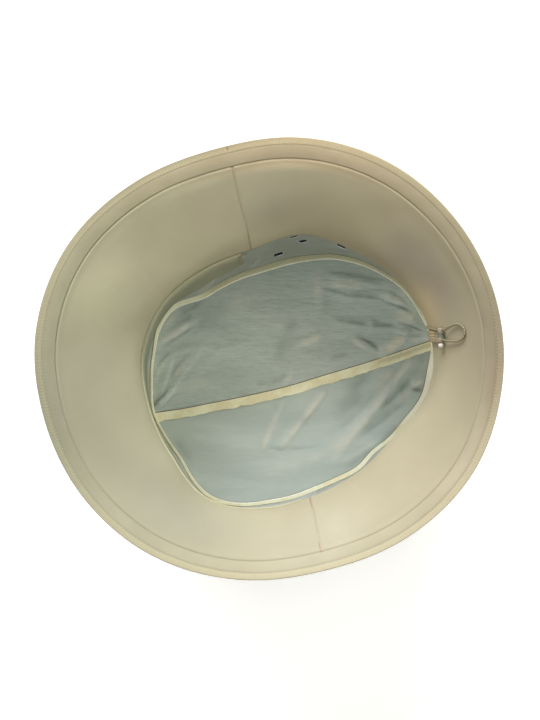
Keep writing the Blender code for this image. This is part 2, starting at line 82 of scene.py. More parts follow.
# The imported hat's outlines at 16 turns set evenly from +X to +Y, as shares of an ellipse with the
# named length and width
OUTLINES = {
    "opening": (1.00, 0.99, 0.98, 1.015, 1.02, 1.01, 1.015, 1.06, 0.99, 1.00, 1.025, 1.01, 0.975,
                0.99, 1.085, 1.06),
    "tip": (1.015, 0.980, 0.940, 0.975, 1.015, 1.060, 1.070, 1.025, 0.980, 0.975, 1.060, 0.990,
            0.955, 0.985, 1.100, 1.080),
    "rim": (1.000, 1.020, 1.030, 1.010, 1.000, 1.005, 1.020, 1.020, 1.000, 1.015, 1.030, 1.020,
            1.000, 1.005, 1.015, 1.010),
}

# How much of the brim's rise is left for its outer stretch, at the same turns
LIP_SHARES = (0.24, 0.24, 0.20, 0.16, 0.24, 0.24, 0.18, 0.18, 0.26, 0.26, 0.26, 0.30, 0.38, 0.38,
              0.22, 0.22)

# The tip seam's tape in millimetres, set evenly round the hat from +X: how far its inner edge stands
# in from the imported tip's edge, and how wide it shows from above
TAPE_INNER = (0.2, 0.3, -0.3, 1.4, -0.4, 0.6, -0.3, 1.0, -1.3, 0.5, -0.1, 0.1, -0.2, -0.8, -0.1,
              0.3, 0.3, -0.6, 0.0, 3.0, -0.6, -1.2, 0.0, 0.8, -0.6, 0.8, 1.0, -1.6, -2.5, -1.6,
              -0.1, 0.0)
TAPE_WIDE = (2.6, 3.0, 2.8, 2.4, 2.7, 3.0, 3.6, 3.8, 0.7, 0.9, 1.1, 1.5, 2.2, 3.0, 3.7, 4.1,
             4.1, 3.9, 3.6, 3.4, 2.8, 1.6, 0.8, 0.8, 0.8, 1.0, 1.2, 1.4, 1.7, 2.0, 2.3, 2.5)

# How far the cloth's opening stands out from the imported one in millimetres, evenly set from +X
OPENING_OUT = (1.4, -1.4, -3.4, -0.5, 0.0, 0.0, 0.0, 0.0, 0.0, 0.0, 0.0, 0.0, 0.0, 1.6, 2.8, 2.6)

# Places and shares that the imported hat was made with
OPENING_SIDE_SHIFT = 0.008
OPENING_BACK_SHIFT = 0.010
TIP_SIDE_SHIFT = 0.007
TIP_BACK_SHIFT = 0.014
WALL_BULGE = 0.003
NECK_HEIGHT = 0.003
STEEP_OUT = 0.05
STEEP_UP = 0.34
LIP_OUT = 0.60
GAP = 0.0003
BAND_SPACE = 0.0006
SEAM_MEET = 0.0005
SEAM_RIGHT_IN = -4.0
SEAM_RIGHT_OUT = 0.0
SEAM_LEFT_IN = 181.5
SEAM_LEFT_OUT = 176.5
BAND_LEFT_END = 186.5
BAND_RIGHT_END = 353.0
CORD_TURN = 89.0
CORD_LEAN = 14.4
TAB_START = 0.0034
LOCK_AHEAD = 0.0214
LOCK_LEFT = 0.0012
LOCK_CLEARANCE = 0.0006
LOCK_ROUNDING = 0.0005
BORE_CLEARANCE = 0.0003
BUTTON_STEM_DIAMETER = 0.0022
BUTTON_STEM = 0.0004
STRAND_SPACING = 0.0062

# The step over which a surface's directions are measured
STEP = 1e-4

# The cord's round in steps of its bevel, its points from one place of its route to the next and, as
# shares of the lock's length or width, its cuts, its waist, how far that reaches and its darker core
CORD_ROUNDING = 4
CORD_STEPS = 8
LOCK_RINGS = (-0.42, -0.36, -0.18, -0.12, 0.12, 0.18, 0.36, 0.42)
LOCK_WAIST = 0.93
LOCK_WAIST_REACH = 0.15
LOCK_CORE_REACH = 0.18

# How far the centre seam bows to the hat's right, in millimetres, evenly set from its front end, and
# the share of its length over which that is softened
SEAM_BOW = (0.0, 3.0, 3.8, 5.2, 5.9, 6.3, 5.1, 4.4, 3.6, 2.0, 0.0)
SEAM_BOW_SOFTENING = 0.06

# How steeply the hem's outer strip falls away on the side that faces the window
HEM_FALL = 0.22
HEM_FALL_TURN = 190.0

# The brim's grid: columns in from a side seam, rows out from the opening and rows in from the hem's
# groove, in millimetres, and the length of half the brim
BRIM_END_COLUMNS = (0.0, 0.3, 0.6, 0.9, 1.3, 1.8, 2.4, 3.2)
BRIM_NECK_ROWS = (0.0, 0.5, 1.0, 1.5, 2.0, 2.5, 3.0, 3.6, 4.3, 5.2)
BRIM_SHORE_ROWS = (4.2, 3.3, 2.7, 2.3, 1.9, 1.6, 1.3, 1.0, 0.8, 0.6, 0.4, 0.15, 0.0, -0.25)
BRIM_HALF = 0.36

# The tip tape's rows up its face as shares, half its thickness in millimetres, and the turns between
# which it is painted pale as a painted highlight, and khaki as painted shade on its face that leans on
# the wall: start, full, end of full, end
TAPE_ROWS = np.array((0.0, 0.03, 0.07, 0.12, 0.17, 0.22, 0.28, 0.36, 0.5, 0.65, 0.8, 0.92, 1.0))
TAPE_HALF = 0.26
TAPE_HIGHLIGHT_TURNS = (50, 64, 88, 100)
TAPE_SHADE_TURNS = (94, 108, 204, 218)

# The rows of stitches across the cord's tab, as shares of its length
TAB_ROWS = (0.14, 0.38, 0.62, 0.86)

# How much longer a stitch is modelled than it shows, because its ends taper
STITCH_STRETCH = 1.12

# Soft seeded waves in the cloth: height, and width and length in millimetres. A tape's waves run along
# it alone.
Wave = namedtuple("Wave", "height wide long seed")
WAVES = {
    "tip_crinkle": (Wave(0.22, 3.4, 17.0, 3), Wave(0.14, 1.9, 9.0, 4)),
    "tip": (Wave(0.45, 15.0, 34.0, 5),),
    "tip_mottle": (Wave(0.35, 5.0, 5.0, 81),),
    "wall_gathers": (Wave(0.7, 4.5, 30.0, 11),),
    "wall": (Wave(0.7, 22.0, 26.0, 12),),
    "band": (Wave(1.0, 14.0, 30.0, 21),),
    "tip_tape": (Wave(0.08, 7.0, 1.0, 31),),
    "centre_tape": (Wave(0.09, 6.0, 1.0, 41), Wave(0.07, 2.6, 1.0, 42)),
    "centre_buckle": (Wave(1.0, 11.0, 1.25, 43),),
    "brim": (Wave(0.9, 42.0, 34.0, 61), Wave(0.35, 19.0, 18.0, 62)),
    "hem": (Wave(0.10, 8.0, 6.0, 71),),
}

# Painted light and shade on the brim, as soft warm, grey and pale tints: turn, millimetres out from
# the opening, half widths in degrees and millimetres, and how much red, green and blue change
Tint = namedtuple("Tint", "turn out wide deep change")
BRIM_PAINTED_SHADING = each(
    Tint,
    (99.0, 10.0, 10.0, 11.0, (0.30, 0.21, 0.08)), (101.0, 33.0, 12.0, 12.0, (-0.14, -0.15, -0.10)),
    (116.0, 27.0, 11.0, 18.0, (-0.14, -0.14, -0.06)),
    (80.0, 58.0, 22.0, 26.0, (-0.25, -0.26, -0.26)), (0.0, 45.0, 20.0, 26.0, (0.16, 0.17, 0.28)),
    (198.0, 66.0, 10.0, 11.0, (0.15, 0.16, 0.17)), (171.0, 28.0, 14.0, 20.0, (-0.09, -0.08, -0.04)),
    (166.0, 70.0, 34.0, 6.0, (0.20, 0.13, 0.08)), (268.0, 60.0, 30.0, 34.0, (-0.20, -0.17, -0.15)),
    (256.0, 30.0, 16.0, 16.0, (-0.08, -0.06, -0.05)),
    (310.0, 32.0, 24.0, 24.0, (-0.13, -0.10, -0.02)), (236.0, 44.0, 12.0, 15.0, (0.14, 0.17, 0.14)),
)

# The same painted light and shade along the rim, out being the distance in from the hem's outer edge
RIM_PAINTED_SHADING = each(
    Tint,
    (190.0, 0.0, 38.0, 2.2, (-0.34, -0.33, -0.32)), (272.0, 0.0, 24.0, 2.2, (-0.20, -0.16, -0.15)),
    (85.0, 0.0, 24.0, 2.2, (-0.12, -0.12, -0.08)), (35.0, 0.0, 28.0, 1.5, (0.10, 0.10, 0.18)),
    (150.0, 9.5, 30.0, 6.0, (0.22, 0.12, 0.09)), (200.0, 9.0, 14.0, 5.0, (-0.07, -0.10, -0.13)),
    (70.0, 6.0, 14.0, 5.0, (-0.12, -0.17, -0.17)), (45.0, 9.0, 12.0, 5.0, (0.10, 0.07, 0.14)),
    (272.0, 7.0, 18.0, 5.0, (-0.12, -0.11, -0.12)), (160.0, 17.0, 20.0, 2.8, (0.42, 0.30, 0.22)),
    (0.0, 5.2, 1000.0, 0.7, (-0.14, -0.13, -0.12)), (0.0, 3.8, 1000.0, 0.8, (0.05, 0.04, 0.02)),
)

# How much darker the wall's outer face is painted than its inner one: painted shade on the outside
WALL_OUTSIDE_SHADE = (-0.40, -0.38, -0.36)

# The wall in millimetres up from the tip: where its gathers are deepest, how far they and the waves
# hold it back, where the waves come in and where its foot stops leaning out to the tape
GATHERS_UP = 9.0
WALL_EASE = 0.3
WALL_WAVES_FROM = (2.0, 12.0)
WALL_FOOT_TO = (12.0, 5.5)

# Where the wall lies flat as shares of its height, behind the sweatband and at the top, and how far
# its foot rolls in
WALL_FLAT_BEHIND_BAND = (0.66, 0.58)
WALL_FLAT_AT_TOP = (1.0, 0.93)
WALL_FOOT_ROLL = 0.00035

# How far below each vent slot the wall puffs in, and how wide and high, in millimetres
SLOT_PUFF_BELOW = 4.0
SLOT_PUFF_WIDE = 6.0
SLOT_PUFF_HIGH = 4.5

# A slot's rounding as a share of its length, and the net behind it: thickness, mesh, height of its
# knots and how far its corners are drawn in
SLOT_CORNER = 0.28
NET_CLOTH = 0.0003
NET_MESH = 0.0012
NET_KNOT = 0.00012
NET_ROUNDING = 0.16

# The turn and height of a slot that the crumpled wall has closed, and how far its two rows of thread
# stand from there
CLOSED_SLOT = (181.5, 0.15)
CLOSED_SLOT_ROWS = ((0.0, 0.0), (-0.9, 0.045))

# How far the sweatband's lower edge hangs in from the wall, in millimetres, set evenly round from +X
BAND_DROOP = (0.3, 0.3, 0.3, 0.3, 0.3, 0.3, 0.3, 0.3, 3.0, 5.5, 5.0, 3.0, 2.0, 1.2, 0.6, 0.3)

# The sweatband's wrinkles in millimetres, and in metres how far its top rolls back and its hem stands
# proud
BAND_WRINKLE = 0.22
BAND_TOP_ROLL = 0.00045
BAND_HEM = 0.0004

# The vent slots: side, turn, share of the crumpled wall's height, tilt in degrees, and how far the
# wall puffs in below the slot, in millimetres
Vent = namedtuple("Vent", "band turn height tilt puff")
VENTS = each(
    Vent,
    ("left", 162.0, 0.92, -24.0, 0.9), ("left", 151.1, 0.93, 0.0, 0.1),
    ("left", 141.4, 0.90, 0.0, 2.0), ("left", 169.8, 0.22, -8.0, 1.3),
    ("left", 158.5, 0.53, -36.0, 1.2), ("right", -8.6, 0.80, 0.0, 0.5),
    ("right", 2.3, 0.80, 0.0, 0.5), ("right", 13.2, 0.80, 0.0, 0.5),
    ("right", -3.0, 0.56, 0.0, 0.5), ("right", 7.9, 0.56, 0.0, 0.5),
)

# The drawcord's route in metres over the brim, from the opening's edge at the cord's turn: how far
# ahead and to the left each point lies, and how far the cord is lifted there
CordPoint = namedtuple("CordPoint", "ahead left lift")
CORD_TO_LOCK = each(
    CordPoint,
    (-0.0004, 0.0060, 0.0001), (0.0035, 0.0054, 0.0001), (0.0080, 0.0050, 0.0002),
    (0.0125, 0.0048, 0.0006), (0.0160, 0.0045, 0.0014),
)
CORD_LOOP = each(
    CordPoint,
    (0.0280, 0.0056, 0.0010), (0.0320, 0.0067, 0.0003), (0.0358, 0.0071, 0.0001),
    (0.0393, 0.0063, 0.0001), (0.0415, 0.0043, 0.0001), (0.0420, 0.0018, 0.0001),
    (0.0405, -0.0004, 0.0001), (0.0370, -0.0018, 0.0001), (0.0325, -0.0023, 0.0003),
    (0.0280, -0.0022, 0.0010),
)
CORD_TO_TAB = each(
    CordPoint,
    (0.0177, -0.0019, 0.0009),
)

# Creases in the thin tip cloth, in millimetres from the tip's centre: x to the hat's right and y to
# its back. Each has a half width, a height off the table, a skew that steepens one of its flanks, and
# how strong it is where it starts and ends.
Crease = namedtuple("Crease", "x y to_x to_y width height skew start end")
LEFT_CREASES = each(
    Crease,
    (-46.4, -83.0, -55.6, -53.8, 2.6, 1.7, 0.45, 0.5, 1.0),
    (-40.0, -84.0, -50.5, -52.0, 3.2, -0.7, 0.0, 0.4, 1.0),
    (-1.1, -95.9, -34.2, -75.2, 2.4, 0.9, 0.3, 1.0, 0.4),
    (-2.3, -94.9, -34.1, -55.0, 2.8, 1.1, 0.3, 1.0, 0.3),
    (-4.0, -93.0, -21.7, -69.0, 2.0, 0.7, 0.3, 1.0, 0.3),
    (-13.0, -74.0, -30.0, -40.0, 3.4, 0.7, 0.2, 0.4, 0.6),
    (-62.5, 47.4, -46.6, 86.2, 3.2, 1.3, -0.3, 0.6, 1.0),
    (-50.8, 44.4, -39.1, 84.3, 3.0, 1.0, -0.3, 0.5, 1.0),
    (-39.1, 84.3, -20.9, 98.4, 2.6, 0.9, -0.3, 1.0, 0.6),
    (-33.7, 37.0, -22.4, 66.8, 3.2, 1.0, -0.3, 0.5, 1.0),
    (-22.4, 66.8, -15.2, 78.0, 2.8, 0.9, -0.3, 1.0, 0.5),
    (-13.1, 54.9, -4.0, 64.8, 2.6, 0.9, -0.3, 0.6, 1.0),
    (-21.1, 12.7, -23.5, 28.6, 3.0, 0.8, -0.2, 0.6, 1.0),
    (-1.7, 67.9, -9.5, 88.8, 2.6, 1.1, 0.3, 0.7, 1.0),
    (-17.0, 78.0, -2.0, 102.0, 2.0, 0.9, 0.2, 0.4, 1.0),
    (-31.0, 88.0, -4.0, 103.0, 2.0, 0.8, -0.3, 0.5, 1.0),
    (-70.0, -22.0, -38.0, -16.0, 5.0, 0.5, 0.2, 1.0, 0.3),
    (-66.0, 8.0, -8.0, 2.0, 6.0, 0.5, 0.2, 0.8, 0.4),
    (-44.0, -30.0, -30.0, 20.0, 7.0, 0.5, 0.2, 0.6, 0.8),
)
RIGHT_CREASES = each(
    Crease,
    (10.7, 4.9, 42.7, -27.0, 3.8, 1.3, -0.2, 0.7, 0.8),
    (16.9, 21.7, 45.7, -15.5, 3.8, 1.2, -0.2, 0.8, 0.7),
    (10.7, 93.7, 46.9, 39.9, 3.8, 1.5, -0.2, 0.8, 0.7),
    (9.1, 78.8, 41.4, 26.8, 3.6, 1.3, -0.2, 0.8, 0.7),
    (10.5, 67.6, 43.0, 19.2, 3.6, 1.2, -0.2, 0.8, 0.6),
    (32.4, 76.3, 39.8, 85.2, 2.6, -1.1, 0.0, 0.8, 1.0),
    (28.2, 88.3, 29.0, 77.2, 2.6, -1.1, 0.0, 1.0, 0.8),
    (22.7, 24.5, 70.0, 52.8, 3.4, 0.7, 0.2, 0.5, 0.8),
    (12.0, -94.0, 24.0, -74.0, 2.4, 0.5, 0.2, 1.0, 0.4),
    (30.0, -66.0, 62.0, -20.0, 9.0, 0.5, 0.1, 0.6, 0.6),
)

# How many half widths a crease takes to fade out at its ends, and how much softer the right half's
# crinkle is
CREASE_END = 1.5
RIGHT_QUIET = 0.45

# The skew of every streak
STREAK_SKEW = 0.35


def streak(*row):
    """A crease with the streaks' skew."""
    return Crease(*row[:6], STREAK_SKEW, *row[6:])


# Painted highlights and shade along the tip's creases, pale above 0 and dark below, in the same
# millimetres: both ends, half width, tone, and how strong each is where it starts and ends
LEFT_STREAKS = each(
    streak,
    (-45.0, -82.0, -54.2, -54.3, 1.8, 0.81, 0.6, 1.0),
    (-41.8, -79.9, -51.2, -55.1, 1.7, -0.62, 0.5, 1.0),
    (-56.5, -74.7, -63.6, -62.8, 2.3, 0.54, 1.0, 0.6),
    (-60.9, -63.5, -66.3, -44.7, 2.1, -0.62, 0.6, 1.0),
    (-30.6, -87.1, -38.7, -73.5, 1.5, -0.62, 1.0, 0.6),
    (-38.7, -73.5, -39.2, -47.2, 1.8, -0.44, 1.0, 0.4),
    (-23.8, -88.8, -34.3, -78.9, 1.3, 0.50, 1.0, 0.5),
    (-22.0, -79.2, -32.5, -66.3, 2.0, -0.56, 0.8, 0.6),
    (-20.6, -76.6, -29.4, -62.8, 1.7, 0.44, 0.8, 0.6),
    (-54.9, 39.6, -45.9, 54.7, 1.7, -0.90, 0.5, 1.0),
    (-45.9, 54.7, -37.1, 80.1, 1.8, -1.06, 1.0, 0.5),
    (-57.9, 41.8, -48.2, 65.5, 2.4, 0.74, 0.6, 1.0),
    (-36.1, 78.4, -22.0, 96.5, 1.5, -1.20, 0.7, 1.0),
    (-39.9, 77.9, -28.8, 92.5, 2.0, 0.67, 0.7, 0.8),
    (-31.9, 40.9, -21.1, 64.2, 1.8, -0.90, 0.6, 1.0),
    (-21.1, 64.2, -15.6, 83.1, 1.7, -0.74, 1.0, 0.8),
    (-18.3, 85.3, -7.9, 100.0, 1.2, -1.34, 0.7, 1.0),
    (-16.1, 54.2, -3.5, 66.1, 1.8, -0.97, 0.5, 1.0), (-14.0, 50.7, -6.5, 57.5, 1.7, 0.53, 0.7, 0.8),
    (-63.4, 49.1, -46.0, 82.4, 2.8, -0.67, 0.7, 0.8),
    (-57.9, 56.4, -44.7, 79.2, 2.2, 0.46, 0.7, 0.6),
    (-19.3, 87.0, -19.9, 95.9, 4.7, 0.82, 1.0, 0.8), (2.0, 67.6, -8.3, 90.0, 3.1, 0.86, 0.9, 0.8),
    (-0.5, 74.8, -5.3, 84.8, 2.9, 0.74, 0.9, 0.8), (-3.9, 90.2, -0.7, 102.5, 1.8, 0.60, 0.6, 0.8),
    (-9.4, 80.1, -3.5, 100.3, 1.3, -0.74, 0.5, 1.0),
    (-70.9, 39.7, -35.4, 29.9, 2.7, 0.20, 0.9, 0.6),
    (-65.3, 44.5, -32.6, 35.2, 4.2, -0.38, 0.6, 0.8),
    (-20.4, 14.6, -22.0, 28.1, 2.2, 0.62, 0.6, 1.0), (-15.4, 0.3, -20.0, 27.6, 2.4, 0.31, 0.5, 0.8),
    (-36.8, 13.1, -16.4, -3.8, 5.0, -0.38, 0.6, 0.9),
    (-64.5, -20.5, -48.1, -30.5, 7.4, 0.31, 0.8, 0.6),
    (-5.2, 33.9, -5.5, 44.1, 2.4, -0.60, 0.8, 0.8), (-34.1, 6.6, -34.8, 15.4, 2.4, -0.38, 0.6, 0.8),
    (-2.7, -97.1, -11.3, -85.5, 1.5, -1.00, 1.0, 0.7),
    (-0.6, -94.7, -9.7, -73.6, 1.7, -0.50, 1.0, 0.4),
    (-4.7, -93.7, -18.2, -72.9, 1.4, -0.62, 0.9, 0.5),
    (-2.8, -92.0, -11.8, -78.9, 1.3, 0.50, 0.9, 0.7),
    (-16.5, -77.7, -17.1, -51.5, 3.3, -0.31, 0.6, 0.6),
    (-0.8, -22.3, 0.6, -11.1, 2.4, -0.44, 0.7, 0.7), (0.6, -11.1, -0.7, 0.8, 2.4, -0.56, 0.7, 0.8),
    (4.1, -3.3, -2.7, 4.2, 1.8, 0.62, 1.0, 0.7),
    (-52.0, -52.0, -40.0, -28.0, 11.0, -0.40, 0.8, 0.8),
    (-56.0, 30.0, -52.0, 54.0, 8.0, 0.30, 0.8, 0.8),
    (-11.0, -84.0, -10.0, -56.0, 9.0, 0.35, 0.8, 0.8),
)
RIGHT_STREAKS = each(
    streak,
    (44.4, -29.7, 30.5, -18.9, 1.9, 0.68, 1.0, 0.8), (30.5, -18.9, 13.6, -5.8, 2.1, 0.54, 0.9, 0.5),
    (20.3, -13.3, 14.6, -7.5, 2.9, -0.35, 0.8, 0.5), (46.6, -17.2, 31.7, 2.5, 1.8, 0.61, 0.8, 0.9),
    (31.7, 2.5, 16.0, 23.3, 1.9, 0.88, 1.0, 0.8), (45.0, -25.5, 48.9, -15.0, 1.5, -0.50, 0.6, 1.0),
    (48.9, -15.0, 53.1, 10.0, 1.4, -0.35, 1.0, 0.5), (66.4, 13.7, 54.3, 28.5, 3.4, 0.56, 0.5, 0.9),
    (54.3, 28.5, 39.5, 49.7, 3.4, 0.61, 0.9, 0.8), (39.5, 49.7, 22.3, 73.1, 2.5, 0.65, 0.8, 0.9),
    (25.6, 57.8, 14.5, 70.9, 3.4, 0.56, 0.6, 0.9), (23.0, 70.1, 11.1, 86.3, 1.9, 0.79, 0.9, 0.9),
    (37.3, 69.2, 26.2, 88.1, 2.6, 0.65, 0.6, 0.8), (61.9, -3.9, 52.0, 36.3, 3.8, 0.33, 0.5, 0.7),
    (36.3, 26.0, 25.5, 46.2, 4.9, -0.65, 0.7, 0.9), (21.4, 41.4, 13.0, 53.8, 4.9, -0.59, 0.9, 0.7),
    (54.7, 35.6, 37.3, 75.0, 2.9, -0.72, 0.5, 1.0), (37.5, 59.0, 24.8, 82.7, 2.4, -0.78, 0.7, 0.9),
    (30.1, 82.0, 32.4, 87.6, 1.5, -1.17, 1.0, 1.0), (27.3, 84.2, 26.7, 90.1, 1.7, 0.65, 1.0, 1.0),
    (36.2, 59.3, 22.0, 71.8, 1.5, -0.52, 0.7, 0.8),
    (22.9, -87.7, 41.9, -81.0, 2.9, -0.45, 0.8, 0.5),
    (25.6, -94.2, 59.2, -81.1, 2.4, -0.30, 0.8, 0.8),
    (61.6, -38.5, 59.9, 11.1, 5.3, 0.26, 0.5, 0.8), (72.9, 22.2, 64.6, 46.0, 2.0, -0.52, 0.5, 0.9),
    (64.6, 46.0, 49.2, 70.4, 1.8, -0.52, 0.9, 0.7), (68.8, 17.5, 58.9, 51.9, 1.7, 0.39, 0.5, 0.8),
)

# Folds in the side wall, in degrees round the hat and shares of its height, with the same measures
WALL_CREASES = each(
    Crease,
    (208.0, 0.14, 187.5, 0.64, 4.4, 3.0, 0.35, 0.7, 1.0),
    (186.0, 0.10, 176.5, 0.44, 3.0, 1.2, 0.2, 0.5, 1.0),
    (183.0, 0.20, 180.0, 0.30, 1.8, 0.9, 0.0, 1.0, 0.6),
    (118.0, 0.25, 108.0, 0.60, 6.0, 2.1, 0.2, 0.7, 0.7),
    (62.0, 0.25, 74.0, 0.60, 6.0, 2.1, 0.2, 0.7, 0.7),
    (146.0, 0.30, 132.0, 0.86, 5.0, 1.2, 0.2, 0.6, 0.8),
)

# Painted highlights and painted shade on the wall, in degrees and shares of its height
WALL_STREAKS = each(
    Crease,
    (210.0, 0.10, 187.0, 0.62, 4.0, 1.0, 0.2, 0.7, 1.0),
    (206.0, 0.02, 184.0, 0.42, 3.4, -0.6, 0.0, 0.6, 1.0),
    (183.5, 0.10, 178.5, 0.30, 2.2, 0.7, 0.0, 1.0, 0.8),
    (186.0, 0.60, 176.0, 0.80, 3.0, 0.3, 0.0, 0.8, 0.6),
    (140.0, 0.30, 108.0, 0.50, 6.0, -0.5, 0.0, 0.6, 0.9),
    (20.0, 0.50, 70.0, 0.50, 40.0, 0.5, 0.0, 0.9, 0.9),
    (290.0, 0.50, 359.0, 0.50, 40.0, 0.9, 0.0, 0.9, 0.9),
)

# The lean of the crown's crinkles in degrees, and in metres their width, the width of the mottling
# between them and how far red, green and blue light reach into a soft plastic
CRINKLE_LEAN = 14.5
CRINKLE_WIDTH = 0.0022
CRINKLE_MOTTLE = 0.0015
LIGHT_REACH = (0.0012, 0.0010, 0.0007)

# The photograph's camera
CAMERA_PLACE = (0.12014, -0.04833, 1.58629)
CAMERA_AXES = ((0.25036, 0.96808, 0.01218), (-0.96480, 0.24843, 0.08630),
               (0.08052, -0.03335, 0.99619))
CAMERA_LENS = 113.3

# The studio's soft lamps, each a wide patch of light: the turn that it comes from and its height in
# degrees, its strength, its width in degrees and its colour
Lamp = namedtuple("Lamp", "name turn height strength size tone")
LAMPS = each(
    Lamp,
    ("left_window", 180.0, 28.0, 5.30, 45.0, "#f9f7ff"),
    ("back_fill", 90.0, 55.0, 1.38, 50.0, "#fff0da"),
    ("back_sky", 90.0, 28.0, 0.70, 50.0, "#9ae4ff"),
    ("front_fill", 270.0, 55.0, 0.95, 50.0, "#fffcec"),
    ("front_sky", 270.0, 28.0, 0.45, 50.0, "#ffd8f0"),
    ("right_fill", 0.0, 55.0, 0.23, 50.0, "#dde8ff"),
)
FLOOR_GLOW = 0.25


def length(name, description, default):
    return FloatProperty(name=name, description=description, default=default, min=0.0, soft_max=0.5,
                         precision=5, unit="LENGTH", subtype="DISTANCE")


def linear(code):
    """A linear colour from an sRGB hex code."""
    shares = [int(code[place:place + 2], 16) / 255.0 for place in (1, 3, 5)]
    return tuple(share / 12.92 if share <= 0.04045 else ((share + 0.055) / 1.055) ** 2.4
                 for share in shares)


def colour(name, description, code):
    return FloatVectorProperty(name=name, description=description, default=linear(code), size=3,
                               min=0.0, max=1.0, subtype="COLOR")


class HatSizes(PropertyGroup):
    """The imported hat's own sizes, which the dressed pieces keep to."""

    hat_length: length("Hat length", "The brim, front to back", 0.300)
    hat_width: length("Hat width", "The brim, side to side", 0.284)
    opening_length: length("Opening length", "Inside the opening, front to back", 0.194)
    opening_width: length("Opening width", "Inside the opening, side to side", 0.168)
    tip_length: length("Tip length", "The crown's tip, front to back", 0.202)
    tip_width: length("Tip width", "The crown's tip, side to side", 0.156)
    crown_height: length("Crown height", "From the table to the opening", 0.092)
    rise_front: length("Front rise", "From the opening up to the brim's front edge", 0.034)
    rise_back: length("Back rise", "From the opening up to the brim's back edge", 0.053)
    rise_left: length("Left rise", "From the opening up to the brim's left edge", 0.026)
    rise_right: length("Right rise", "From the opening up to the brim's right edge", 0.048)
    crown_cloth: length("Crown cloth", "Thickness of the crown's cloth", 0.0012)
    brim_cloth: length("Brim cloth", "Thickness of the brim's layers", 0.0020)
    hem_cloth: length("Hem", "Thickness of the folded hem", 0.0026)
    band_cloth: length("Sweatband", "Thickness of the sweatband", 0.0010)
    tape_cloth: length("Tape", "Thickness of the bound seam allowances", 0.0010)
    tab_cloth: length("Tab", "Thickness of the cord's tab", 0.0016)
    hem_width: length("Hem width", "From the brim's edge to the hem's inner row of stitches", 0.0140)
    band_depth: length("Sweatband depth", "How far the sweatband hangs down the wall", 0.030)
    centre_tape: length("Centre tape width", "Width of the tape along the tip's seam", 0.0062)
    tip_tape: length("Tip tape width", "Width of the tape round the tip", 0.0058)


class HatTrim(PropertyGroup):
    """Stitches, slots, cord and lock."""

    stitch_pitch: length("Stitch pitch", "From one stitch to the next", 0.0023)
    stitch: length("Stitch", "Length of one stitch", 0.0019)
    thread: length("Thread", "Thickness of the sewing thread", 0.00042)
    hem_row: length("Hem row", "From the brim's edge to the hem's outer row of stitches", 0.0050)
    rib: length("Rib", "From one fine rib of the hem's outer strip to the next", 0.0020)
    slot_length: length("Slot length", "Length of a vent slot round the wall", 0.0072)
    slot_height: length("Slot height", "Height of a vent slot up the wall", 0.0060)
    slot_binding: length("Slot binding", "Thickness of the thread round a vent slot", 0.0006)
    cord: length("Cord", "Diameter of the drawcord", 0.0014)
    tab_length: length("Tab length", "Length of the cord's tab", 0.0136)
    tab_width: length("Tab width", "Width of the cord's tab", 0.0076)
    lock_length: length("Lock length", "Length of the cord lock's barrel", 0.0090)
    lock_diameter: length("Lock diameter", "Diameter of the cord lock's barrel", 0.0042)
    button: length("Button", "Diameter of the cord lock's ball", 0.0037)


class HatColours(PropertyGroup):
    """Colours of the cloths, threads and plastic."""

    brim: colour("Brim", "The khaki cloth of the brim", "#9a957a")
    brim_shade: colour("Brim shade", "The khaki cloth where it has darkened", "#969176")
    # Painted light: the hem's outer strip painted a little lighter and yellower
    hem: colour("Hem edge", "The yellower cloth of the hem's edge", "#9e987a")
    crown: colour("Crown", "The crown's grey green cloth", "#b4c1bb")
    crown_shade: colour("Crown shade", "That cloth in its darker streaks", "#a9b6b0")
    # Painted highlight on the raised creases and pale streaks of the crown's nylon
    crown_pale: colour("Crown pale", "That cloth along its raised creases", "#e0dccb")
    # Painted shade in the crown nylon's hollows and dark streaks
    crown_dark: colour("Crown dark", "That cloth in its hollows", "#5f6b64")
    # The crown's nylon, painted darker and greyer on the wall as painted shade
    wall: colour("Wall", "The side wall's greyer cloth", "#aab0a6")
    # Partly painted shade in the grooves of the crown's seams
    seam_shade: colour("Seam shade", "The dull thread in the crown's seams", "#76725a")
    sweatband: colour("Sweatband", "The olive sweatband", "#95937a")
    # Painted light: the sweatband painted lighter near the opening
    band_edge: colour("Band edge", "The sweatband where light comes through at the opening", "#bbb896")
    tape: colour("Tape", "The cream binding on the seams", "#edeed0")
    tape_shade: colour("Tape shade", "The binding where it has browned", "#e2dcb6")
    # Painted highlight on the binding's rolled edge
    tape_roll: colour("Tape roll", "The binding's pale rolled edge", "#fffff0")
    # Painted shade: the binding's face painted khaki where it leans on the wall in shade
    tape_khaki: colour("Tape face", "The binding's khaki face where it leans on the wall", "#b2b193")
    thread: colour("Thread", "The yellowish sewing thread", "#aaa582")
    seam_thread: colour("Seam thread", "The tan thread in the brim's side seams", "#9a8466")
    binding: colour("Slot thread", "The pale thread round the vent slots", "#c6cfca")
    cord: colour("Cord", "The drawcord's khaki braid", "#b8b08a")
    # Painted shade in the braid's gaps
    cord_shade: colour("Cord shade", "The dark gaps of the braid", "#605b44")
    tab: colour("Tab", "The cord tab's tan binding", "#a39976")
    tab_shade: colour("Tab shade", "The cord tab's darker patches", "#938866")
    tab_thread: colour("Tab thread", "The pale tan thread of the cord's tab", "#b9ae88")
    lock: colour("Lock", "The cord lock's cloudy plastic", "#a69e87")
    lock_core: colour("Lock core", "The spring and plunger that show through the barrel", "#70776c")
    button: colour("Lock ball", "The white ball that presses the lock open", "#dcd3cd")
    # Painted shade: a near-black net that keeps the vent slots dark
    net: colour("Net", "The dark net in the vent slots", "#0b0c0c")
    floor: colour("Floor", "The plain pale floor", "#fbfbfb")


def sizes():
    return bpy.context.scene.hat_sizes


def trim():
    return bpy.context.scene.hat_trim


def colours():
    return bpy.context.scene.hat_colours


# Shape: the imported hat's surfaces, worked out for whole arrays of places at once


